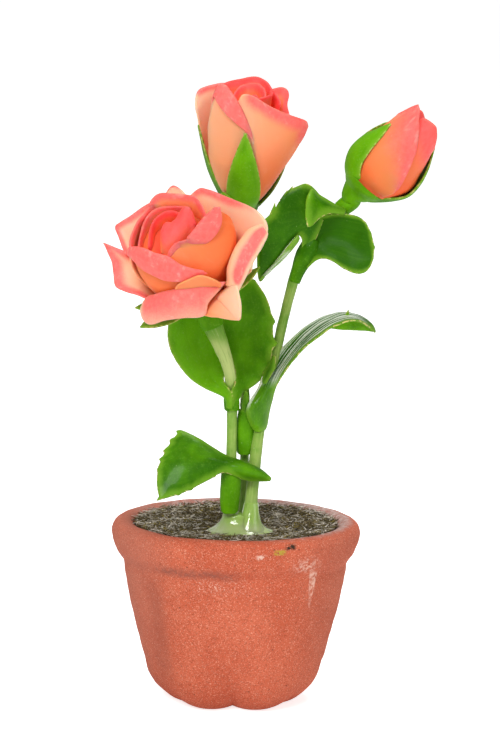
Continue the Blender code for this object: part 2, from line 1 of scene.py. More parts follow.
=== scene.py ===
"""Looks of a miniature clay rose, about 62 mm tall, in a small terracotta pot.

Shapes are worked out in millimetres, +Z up and the blooms facing -Y, and each finished mesh is
scaled to metres.
"""

import math
from collections import namedtuple

import bpy
import numpy as np
from mathutils import Matrix, Vector, noise


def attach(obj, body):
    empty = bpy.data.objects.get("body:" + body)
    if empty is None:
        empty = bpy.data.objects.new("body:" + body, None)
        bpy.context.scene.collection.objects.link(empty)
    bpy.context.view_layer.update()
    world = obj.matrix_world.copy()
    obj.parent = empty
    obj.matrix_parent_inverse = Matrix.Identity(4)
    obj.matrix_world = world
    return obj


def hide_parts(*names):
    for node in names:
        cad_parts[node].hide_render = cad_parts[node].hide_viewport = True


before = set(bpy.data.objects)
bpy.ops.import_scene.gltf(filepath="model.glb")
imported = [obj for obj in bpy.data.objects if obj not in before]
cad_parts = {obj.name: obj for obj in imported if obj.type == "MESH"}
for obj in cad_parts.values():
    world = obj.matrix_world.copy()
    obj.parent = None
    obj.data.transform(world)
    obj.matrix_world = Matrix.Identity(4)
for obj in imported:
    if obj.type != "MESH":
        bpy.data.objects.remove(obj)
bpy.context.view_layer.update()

MM = 0.001
TURN = 2 * math.pi

# Pot and soil: outlines of (radius, height), and lumps of (depth, size).
LOBES = 6
LOBE_DEPTH = 2.0
LOBE_TOP = 9.0
GROOVE_DEPTH = 0.3
GROOVE_TOP = 16.0
WAIST_DEPTH, WAIST_HEIGHT, WAIST_WIDTH = 0.25, 0.8, 0.9
CREASE_DEPTH, CREASE_HEIGHT, CREASE_WIDTH = 0.16, 14.4, 0.55
FOOT_RADIUS = 5.4
HEEL_WIDTH = 3.0
HEEL_HEIGHT = 4.2
HEEL_LEAN = 0.14
POT_WALL = [(9.4, 5.5), (10.15, 8.5), (10.75, 11.2), (11.2, 13.6)]
POT_RIM = [(11.5, 14.6), (12.05, 15.6), (12.45, 16.8), (12.5, 17.5), (12.2, 18.1), (11.6, 18.4),
           (11.0, 18.4), (10.5, 18.15), (10.25, 17.6)]
POT_INSIDE = [(9.9, 15.0), (8.4, 9.0), (6.6, 5.5), (5.0, 3.4), (4.2, 2.6)]
POT_SIDES = 240
POT_LUMPS = [(0.10, 3.5), (0.05, 1.2), (0.03, 0.4)]
SOIL_RADIUS = 10.15
SOIL_SIDES = 180
SOIL_LUMPS = [(0.28, 1.3), (0.16, 0.45), (0.08, 0.2)]
SOIL_TOP = [(10.2, 17.75), (9.6, 17.95), (8.0, 17.8), (5.0, 17.65), (2.0, 17.6), (0.2, 17.6)]

# Loose fibres: how many, the (radius, height) of their bed, how far out they may reach, their kinds.
FIBRES = 8000
FIBRE_BED = [(2.0, 17.6), (5.0, 17.65), (8.0, 17.8), (9.6, 17.95), (10.2, 18.05)]
FIBRE_LIMIT = 10.75
BROWN, PALE, YELLOW = 1, 2, 3

# Glue: the foot's rings are (radius along X, radius along Y, height), and the collar of glue drawn up
# round the right stem is (x, y, z, radius).
GLUE_SIDES = 72
FOOT_CENTRE = (0.4, -3.6)
GLUE_COLLAR = [(1.35, -3.95, 17.9, 1.75), (1.42, -3.98, 18.6, 1.32), (1.47, -3.97, 19.3, 1.02),
               (1.51, -3.92, 20.1, 0.83), (1.54, -3.86, 20.9, 0.70)]
FOOT_RINGS = [(3.5, 2.7, 17.6), (3.2, 2.45, 17.95), (2.7, 2.05, 18.2), (2.1, 1.5, 18.7),
              (1.8, 1.25, 19.2), (1.65, 1.1, 19.6), (1.2, 0.7, 19.75), (0.3, 0.2, 19.8)]

# Stems: points on the centre line with the radius there, from inside the glue foot up to a calyx.
STEMS = {
    "stem_left": [(-0.50, -4.0, 19.0, 0.54), (-0.53, -4.1, 24.0, 0.52), (-0.54, -4.3, 30.4, 0.52),
                  (-0.65, -4.8, 32.6, 0.58), (-0.95, -5.4, 34.6, 0.60), (-1.65, -6.1, 36.7, 0.76),
                  (-2.35, -6.5, 38.4, 0.95), (-2.85, -6.6, 39.6, 1.15)],
    "stem_right": [(1.47, -4.0, 19.0, 0.80), (1.54, -3.85, 21.4, 0.64), (2.04, -3.5, 27.1, 0.58),
                   (2.71, -3.1, 31.1, 0.55), (3.76, -2.4, 36.0, 0.50), (4.86, -1.8, 41.0, 0.50),
                   (5.90, -1.2, 44.7, 0.56), (7.30, -0.9, 47.4, 0.58), (9.10, -1.1, 49.4, 0.64),
                   (10.55, -1.5, 50.6, 0.86)],
    "stem_back": [(0.75, -2.5, 19.0, 0.45), (0.78, -2.3, 24.9, 0.45), (0.72, -1.9, 30.9, 0.45),
                  (0.50, -1.2, 40.8, 0.45), (0.25, -0.7, 47.6, 0.50)],
}

# Sheets of clay: how thick they are, and how far in from its margin a sheet still gets thicker.
PETAL_THICKNESS = 0.45
SEPAL_THICKNESS = 0.40
LEAF_THICKNESS = 0.40
CLASP_THICKNESS = 0.36
SLIVER_THICKNESS = 0.25
MARGIN_TAPER = 1.4

# The edge mark of a round body, which has no margin to paint.
BARE = 2.0

# The distance from the bloom's axis and the height at which every petal starts.
PETAL_FOOT = (1.2, 0.1)

# Petals. Turns are degrees round the bloom: 0 to the right, 90 to the back, 270 to the viewer.
# foot: the turns at the two ends of the petal's foot, clockwise end first.
# start, end: (distance, height) on the way up, at the clockwise and at the other end.
# crest: the petal's top, as (turn, distance, height). lip: its margin where it rolls outwards.
# rim: width of the pink margin, painted over that reach of the petal from 0 to 1 and faded beyond.
# lip_pink, fade: how pink the lip is at its crest, and how much of that it loses at its margin.
# stripe: pink along the middle of the lip. blush: pink over the upper part.
# tone: 0 orange to 1 cream, at both ends; a much deeper end is partly painted shade. red: how red the petal
# is all over.
Petal = namedtuple("Petal", "foot start end crest lip rim reach lip_pink fade stripe blush tone red",
                   defaults=((), 0.0, (-0.3, 1.3), 0.0, 0.3, 0.0, 0.0, (0.0, 0.0), 0.0))

OPEN_CORE = [(0.9, 0.0), (3.0, 1.4), (3.4, 4.0), (3.4, 7.2), (3.0, 8.3), (1.6, 8.3), (0.3, 8.2)]
OPEN_PETALS = [
    Petal((10, 240), [(1.2, 2.0), (1.6, 5.0), (1.6, 8.0)], [(1.2, 2.0), (1.2, 4.6), (1.0, 7.4)],
          [(3, 2.3, 9.4), (24, 2.3, 9.9), (39, 2.45, 10.2), (50, 2.4, 10.4), (55, 1.8, 10.1),
           (61, 1.1, 9.8), (90, 0.7, 9.7), (120, 1.0, 9.65), (157, 0.9, 9.5), (200, 1.0, 9.3),
           (226, 1.4, 9.1), (244, 2.2, 8.9)],
          [(3, 2.4, 9.2), (-15, 2.0, 8.8), (-30, 1.6, 8.6), (-45, 1.5, 8.5), (-60, 1.6, 8.4),
           (-70, 1.8, 8.4), (-80, 2.0, 8.4), (-90, 2.2, 8.4), (-98, 2.4, 8.4), (-105, 2.5, 8.4),
           (-110, 2.5, 8.5), (-113, 2.4, 8.7)],
          lip_pink=1.2, fade=0.85, reach=(-0.3, 0.75), tone=(-0.2, 0.2), red=0.5),
    Petal((75, 215), [(1.8, 2.0), (2.3, 5.0), (2.3, 8.0)], [(1.8, 2.0), (2.2, 4.6), (2.3, 7.4)],
          [(60, 1.9, 9.4), (68, 1.95, 9.6), (85, 2.2, 9.7), (102, 2.4, 9.7), (124, 2.4, 9.6),
           (150, 2.3, 9.4), (179, 2.2, 9.2), (204, 2.5, 8.9)],
          rim=0.9, tone=(0.0, 0.0), red=0.6),
    Petal((60, 215), [(2.2, 2.0), (2.9, 5.0), (3.0, 8.0)], [(2.2, 2.0), (3.2, 4.6), (3.5, 7.2)],
          [(58, 3.2, 9.2), (79, 3.0, 9.4), (101, 3.0, 9.6), (118, 3.1, 9.8), (135, 3.1, 9.7),
           (153, 3.1, 9.4), (169, 3.2, 9.0), (186, 3.4, 8.6), (205, 3.7, 8.3)],
          rim=0.8, tone=(0.3, 0.3), red=0.15),
    Petal((10, 130), [(2.4, 2.0), (3.3, 5.0), (3.2, 8.0)], [(2.4, 2.0), (3.3, 5.0), (3.4, 8.0)],
          [(8, 3.4, 9.4), (24, 3.5, 9.8), (40, 3.7, 10.1), (54, 3.9, 10.3), (64, 3.8, 10.3),
           (88, 3.8, 10.4), (104, 4.3, 10.3), (114, 4.3, 10.1), (126, 3.9, 9.8)],
          rim=0.9, tone=(0.0, 0.3), red=0.1),
    Petal((105, 215), [(2.4, 2.0), (3.2, 5.0), (3.4, 8.0)], [(2.8, 1.8), (4.2, 4.2), (4.7, 7.0)],
          [(108, 4.0, 9.5), (124, 3.8, 9.8), (138, 3.5, 9.9), (154, 3.6, 9.9), (172, 3.7, 9.7),
           (186, 4.0, 9.4), (198, 4.4, 8.8)],
          rim=1.1, reach=(-0.3, 0.95), tone=(0.3, 0.5), red=0.05),
    # This petal deepens to orange at its right end: partly painted shade in the crease there.
    Petal((262, 395), [(2.6, 1.6), (3.4, 4.0), (3.5, 7.0)], [(3.2, 1.6), (4.9, 4.4), (5.6, 7.4)],
          [(260, 2.7, 8.9), (270, 2.3, 9.4), (292, 2.0, 9.7), (315, 2.4, 9.9), (340, 2.7, 10.1),
           (359, 3.2, 10.2), (377, 4.7, 10.4)],
          [(262, 3.0, 8.8), (271, 2.6, 9.2), (293, 2.3, 9.5), (321, 3.1, 9.0), (338, 4.0, 9.1),
           (360, 4.9, 9.5), (377, 5.2, 10.3)],
          lip_pink=1.3, fade=0.0, tone=(0.55, -0.35)),
    Petal((238, 300), [(2.8, 1.4), (4.0, 3.8), (4.4, 6.4)], [(2.8, 1.4), (4.0, 3.8), (4.3, 6.4)],
          [(191, 4.3, 8.9), (203, 3.5, 9.2), (221, 3.0, 9.3), (262, 3.0, 9.3), (282, 4.1, 9.0),
           (293, 4.7, 8.6), (304, 5.1, 8.1)],
          [(194, 4.8, 8.6), (207, 4.5, 8.4), (238, 4.4, 8.2), (260, 4.7, 8.0), (278, 4.9, 7.9),
           (295, 5.1, 7.9), (307, 5.3, 7.8)],
          lip_pink=1.1, fade=0.2, tone=(0.0, 0.2)),
    Petal((268, 312), [(2.9, 1.4), (4.2, 3.8), (4.6, 6.0)], [(2.9, 1.4), (4.4, 3.6), (5.4, 5.0)],
          [(268, 4.8, 7.2), (276, 5.0, 8.0), (286, 5.1, 8.4), (297, 5.3, 8.5), (304, 5.7, 8.1),
           (309, 6.1, 7.4), (312, 6.3, 6.5)],
          tone=(0.1, 0.1)),
    Petal((80, 108), [(3.2, 1.3), (4.6, 3.2), (5.3, 5.2)], [(3.2, 1.3), (4.6, 3.2), (5.3, 5.2)],
          [(80, 5.2, 6.4), (85, 6.1, 7.1), (91, 6.8, 7.5), (96, 7.2, 7.6), (102, 7.0, 7.1),
           (107, 6.2, 6.4)],
          rim=0.3, reach=(0.4, 1.3), tone=(1.0, 1.0)),
    Petal((108, 172), [(3.2, 1.3), (4.6, 3.2), (5.4, 5.2)], [(3.2, 1.1), (4.6, 2.8), (5.2, 4.4)],
          [(110, 6.2, 7.2), (119, 6.6, 7.1), (135, 7.0, 6.8), (144, 7.6, 6.6), (148, 7.9, 6.4),
           (153, 7.2, 6.0), (165, 5.9, 5.4)],
          rim=0.9, tone=(0.9, 0.9)),
    Petal((345, 442), [(3.2, 1.0), (5.0, 2.4), (6.4, 3.8)], [(3.2, 1.3), (4.7, 3.2), (5.4, 5.4)],
          [(345, 6.5, 4.9), (353, 7.2, 5.4), (361, 8.1, 6.0), (369, 8.6, 6.4), (382, 8.4, 6.4),
           (401, 7.5, 6.4), (415, 7.2, 6.5), (428, 7.2, 6.8), (434, 7.0, 7.1), (442, 6.0, 6.9)],
          rim=1.0, reach=(0.5, 0.93), tone=(0.9, 0.8)),
    Petal((168, 222), [(2.6, 1.2), (4.0, 3.2), (5.6, 4.4)], [(2.6, 0.7), (3.8, 1.9), (4.6, 3.2)],
          [(157, 9.0, 5.2), (161, 8.4, 5.1), (170, 7.5, 4.9), (181, 7.2, 4.7), (190, 7.2, 4.5),
           (195, 6.9, 4.4), (206, 5.7, 4.3), (219, 5.0, 4.2)],
          rim=1.5, tone=(0.9, 0.8)),
    Petal((322, 378), [(3.2, 1.1), (4.6, 3.0), (5.4, 4.8)], [(3.2, 1.1), (4.6, 3.0), (5.6, 5.0)],
          [(317, 6.2, 5.2), (332, 5.5, 6.2), (351, 5.7, 6.6), (365, 6.7, 6.8), (369, 7.5, 6.8),
           (370, 8.1, 6.7)],
          [(321, 7.0, 4.7), (331, 7.15, 5.3), (341, 7.4, 5.8), (353, 8.0, 6.2), (359, 8.5, 6.4),
           (363, 8.7, 6.5)],
          stripe=1.3, tone=(1.1, 1.1)),
    # This petal is deeper orange at its left end: partly painted shade.
    Petal((284, 326), [(3.2, 0.9), (4.9, 2.8), (6.0, 4.2)], [(3.2, 1.3), (5.0, 3.4), (6.1, 5.1)],
          [(286, 6.6, 4.5), (291, 7.4, 4.6), (296, 8.2, 4.9), (303, 9.6, 5.1), (304.5, 9.9, 5.2),
           (307, 9.6, 5.5), (312, 8.7, 6.0), (318, 7.3, 6.1)],
          tone=(-0.1, 1.3)),
    Petal((228, 314), [(3.2, 1.0), (4.4, 2.6), (5.0, 4.0)], [(3.2, 1.2), (4.4, 3.2), (5.2, 4.8)],
          [(226, 5.6, 4.7), (230, 5.3, 5.2), (237, 5.1, 5.5), (252, 4.9, 6.2), (270, 4.9, 6.7),
           (285, 4.9, 6.7), (300, 4.95, 6.3), (319, 5.7, 5.4)],
          [(230, 6.8, 4.7), (236, 7.3, 4.2), (243, 7.4, 4.2), (256, 7.0, 4.8), (271, 6.9, 4.9),
           (287, 7.0, 4.55), (295, 6.5, 5.5), (313, 5.9, 5.6)],
          lip_pink=1.0, fade=0.55, reach=(0.16, 1.3), tone=(1.0, 0.9)),
]

HALF_CORE = [(0.8, 0.0), (2.2, 1.6), (2.9, 4.2), (2.8, 7.6), (2.2, 9.3), (0.4, 9.6)]
HALF_PETALS = [
    Petal((150, 420), [(0.9, 2.0), (0.9, 5.0), (0.8, 8.0)], [(0.9, 2.0), (0.9, 5.0), (0.8, 8.0)],
          [(150, 0.75, 10.4), (220, 0.7, 10.6), (300, 0.8, 10.8), (370, 0.9, 10.9), (420, 0.9, 10.9)],
          rim=0.8, red=0.9),
    Petal((-35, 215), [(1.6, 2.0), (2.1, 5.0), (1.9, 8.0)], [(1.2, 2.0), (1.3, 5.0), (1.1, 8.0)],
          [(-35, 1.9, 11.0), (0, 1.6, 11.4), (40, 1.8, 11.6), (70, 2.4, 11.7), (95, 2.5, 11.5),
           (125, 1.6, 11.2), (165, 1.2, 10.9), (210, 1.15, 10.6)],
          rim=1.1, red=0.45),
    Petal((200, 400), [(1.4, 2.0), (2.0, 5.0), (1.9, 8.0)], [(1.4, 2.0), (2.0, 5.0), (1.9, 8.0)],
          [(190, 1.6, 10.0), (230, 1.7, 10.6), (270, 1.8, 11.0), (310, 2.0, 11.3), (350, 2.3, 11.4),
           (390, 2.4, 11.3)],
          rim=0.5, red=0.9),
    Petal((-10, 130), [(1.8, 2.0), (2.6, 5.0), (2.8, 8.4)], [(1.8, 2.0), (2.8, 5.0), (3.2, 8.4)],
          [(-10, 3.2, 10.4), (20, 3.0, 10.9), (45, 3.3, 11.2), (66, 4.0, 11.7), (80, 4.2, 11.9),
           (98, 3.9, 11.7), (118, 4.1, 11.4), (132, 4.0, 11.0)],
          rim=1.2, red=0.7),
    Petal((15, 68), [(2.4, 2.0), (3.6, 5.0), (4.2, 7.2)], [(2.4, 2.0), (3.4, 5.0), (3.8, 8.4)],
          [(18, 4.5, 8.2), (30, 4.8, 8.8), (38, 5.0, 9.6), (43, 5.5, 10.5), (49, 5.5, 10.9),
           (55, 4.8, 10.8), (62, 4.0, 10.5)],
          rim=1.4, red=0.4),
    Petal((100, 178), [(2.4, 2.0), (3.6, 5.0), (4.2, 8.4)], [(2.6, 2.0), (3.9, 5.0), (4.5, 7.6)],
          [(104, 4.7, 10.9), (118, 4.8, 11.1), (132, 4.8, 11.1), (145, 5.0, 11.0), (154, 5.2, 10.8),
           (162, 5.2, 10.2), (170, 5.0, 9.2)],
          rim=0.8, reach=(-0.3, 0.7), tone=(0.6, 0.9)),
    # This petal deepens to orange towards its right: partly painted shade on the side away from the light.
    Petal((245, 352), [(2.6, 1.8), (3.4, 4.6), (3.4, 7.8)], [(2.6, 1.9), (4.2, 4.6), (5.5, 7.0)],
          [(250, 3.2, 10.4), (256, 3.3, 11.2), (262, 3.4, 11.9), (270, 3.6, 12.1), (279, 3.8, 12.0),
           (289, 4.0, 11.6), (302, 4.5, 11.0), (318, 5.2, 10.3), (330, 5.8, 9.8), (337, 6.25, 9.4),
           (344, 6.2, 8.7)],
          rim=1.9, reach=(0.34, 1.3), tone=(0.85, -0.15)),
    Petal((198, 288), [(2.6, 2.0), (3.6, 4.6), (3.8, 6.2)], [(2.8, 1.8), (3.9, 4.0), (4.2, 5.8)],
          [(201, 3.9, 7.6), (208, 3.9, 9.2), (214, 3.8, 11.0), (221, 3.5, 12.0), (229, 3.3, 12.1),
           (240, 3.4, 11.7), (254, 3.6, 10.9), (266, 3.9, 9.8), (275, 4.1, 8.7), (283, 4.2, 7.4)],
          [(201, 3.95, 7.5), (208, 3.95, 9.1), (213, 4.05, 10.8), (219, 4.2, 11.5), (226, 4.3, 11.1),
           (235, 4.4, 10.6), (247, 4.5, 9.9), (261, 4.5, 9.1), (271, 4.4, 8.4), (280, 4.4, 7.2)],
          lip_pink=1.2, fade=0.3, reach=(0.25, 0.92), tone=(1.1, 0.5)),
    Petal((-38, 42), [(2.4, 2.0), (3.3, 4.8), (3.6, 7.0)], [(2.4, 2.0), (3.4, 4.8), (3.8, 7.0)],
          [(-32, 3.7, 8.0), (-16, 3.9, 8.8), (0, 4.05, 9.2), (14, 4.15, 9.1), (27, 4.2, 8.6),
           (38, 4.1, 7.8)],
          rim=0.9, tone=(0.5, 0.8)),
]

BUD_CORE = [(0.9, 0.0), (2.0, 1.3), (2.2, 3.2), (1.8, 5.6), (1.1, 8.0), (0.3, 9.4)]
BUD_PETALS = [
    Petal((30, 190), [(2.2, 1.4), (2.7, 3.2), (2.5, 6.0)], [(1.8, 1.4), (2.5, 3.2), (2.3, 6.0)],
          [(30, 2.3, 8.4), (65, 2.1, 9.2), (100, 1.5, 9.9), (140, 1.2, 9.8), (180, 1.5, 8.9)],
          blush=1.1, red=0.5),
    Petal((240, 380), [(2.3, 1.4), (2.6, 3.4), (2.3, 5.8)], [(2.5, 1.4), (3.75, 3.6), (3.3, 5.6)],
          [(240, 0.9, 10.0), (258, 1.4, 10.3), (274, 1.8, 10.5), (290, 2.1, 10.5), (302, 2.3, 10.0),
           (320, 2.35, 9.2), (345, 2.4, 8.3), (380, 2.3, 7.9)],
          blush=1.4, red=0.38, tone=(0.0, -0.3)),
    Petal((125, 312), [(1.8, 1.4), (2.6, 3.2), (2.4, 6.0)], [(1.9, 1.0), (2.65, 1.7), (3.25, 2.7)],
          [(138, 2.3, 7.6), (155, 2.15, 8.6), (167, 1.8, 9.7), (176, 1.5, 10.5), (182, 1.4, 10.5),
           (205, 1.3, 10.4), (228, 1.5, 10.1), (250, 1.8, 9.6), (263, 2.0, 9.2), (277, 2.4, 8.4),
           (288, 2.75, 7.5), (296, 3.1, 6.2), (303, 3.35, 4.9), (309, 3.5, 3.5)],
          blush=1.0, red=0.05, tone=(-0.2, -0.45)),
]

# Sepals: turn; distance and height along the middle; half the width; how much flatter than a
# circle round the axis; tone from 0 dark green to 1 light green.
Sepal = namedtuple("Sepal", "turn line half_width wrap tone")

OPEN_SEPALS = [
    Sepal(203, [(1.4, -0.4), (3.2, 0.1), (4.8, 0.9), (6.3, 1.8)], 1.1, 1.6, 0.6),
    Sepal(217, [(1.5, -0.5), (3.4, -0.4), (5.2, 0.1), (6.9, 0.8)], 1.3, 1.6, 0.2),
    Sepal(355, [(1.5, -0.4), (3.6, 0.1), (5.4, 1.4), (7.0, 2.9)], 1.0, 1.6, 0.9),
    Sepal(60, [(1.5, -0.4), (3.2, 0.0), (4.8, 0.9), (6.2, 2.0)], 1.3, 1.6, 0.4),
    Sepal(130, [(1.5, -0.4), (3.2, 0.0), (4.8, 0.9), (6.2, 2.0)], 1.3, 1.6, 0.4),
]
HALF_SEPALS = [
    Sepal(269.5, [(1.4, -0.5), (3.0, 1.2), (4.1, 3.4), (4.75, 5.8), (4.75, 8.5)], 1.75, 1.0, 0.8),
    Sepal(236, [(1.4, -0.6), (2.4, 0.1), (3.1, 0.9), (3.5, 1.9)], 1.8, 1.0, 0.75),
    Sepal(186, [(1.4, -0.5), (2.4, 1.2), (3.45, 3.4), (4.15, 5.8), (4.7, 8.0)], 1.5, 1.0, 0.3),
    Sepal(110, [(1.4, -0.5), (2.9, 1.2), (4.0, 3.4), (4.7, 5.8), (5.0, 7.6)], 1.5, 1.0, 0.4),
    Sepal(35, [(1.4, -0.5), (2.9, 1.2), (4.1, 3.4), (4.9, 5.8), (5.2, 7.6)], 1.5, 1.0, 0.3),
]
BUD_SEPALS = [
    Sepal(192, [(0.8, -0.6), (1.6, 0.4), (2.6, 1.3), (3.25, 2.7), (3.25, 4.4), (2.8, 5.9), (2.4, 7.4)],
          2.35, 1.0, 1.0),
    Sepal(2, [(0.8, -0.6), (1.9, 0.4), (3.0, 1.6), (3.95, 3.1), (4.0, 4.8), (3.5, 6.5), (2.6, 8.4)],
          2.3, 1.0, 0.55),
    Sepal(122, [(0.8, -0.6), (2.0, 0.4), (3.3, 2.2), (3.5, 4.4), (3.1, 6.2), (2.8, 7.2)], 1.6, 1.1, 0.5),
    Sepal(64, [(0.8, -0.5), (2.1, 0.4), (3.4, 2.2), (3.6, 4.4), (3.2, 6.2), (2.9, 7.2)], 1.5, 1.2, 0.5),
]
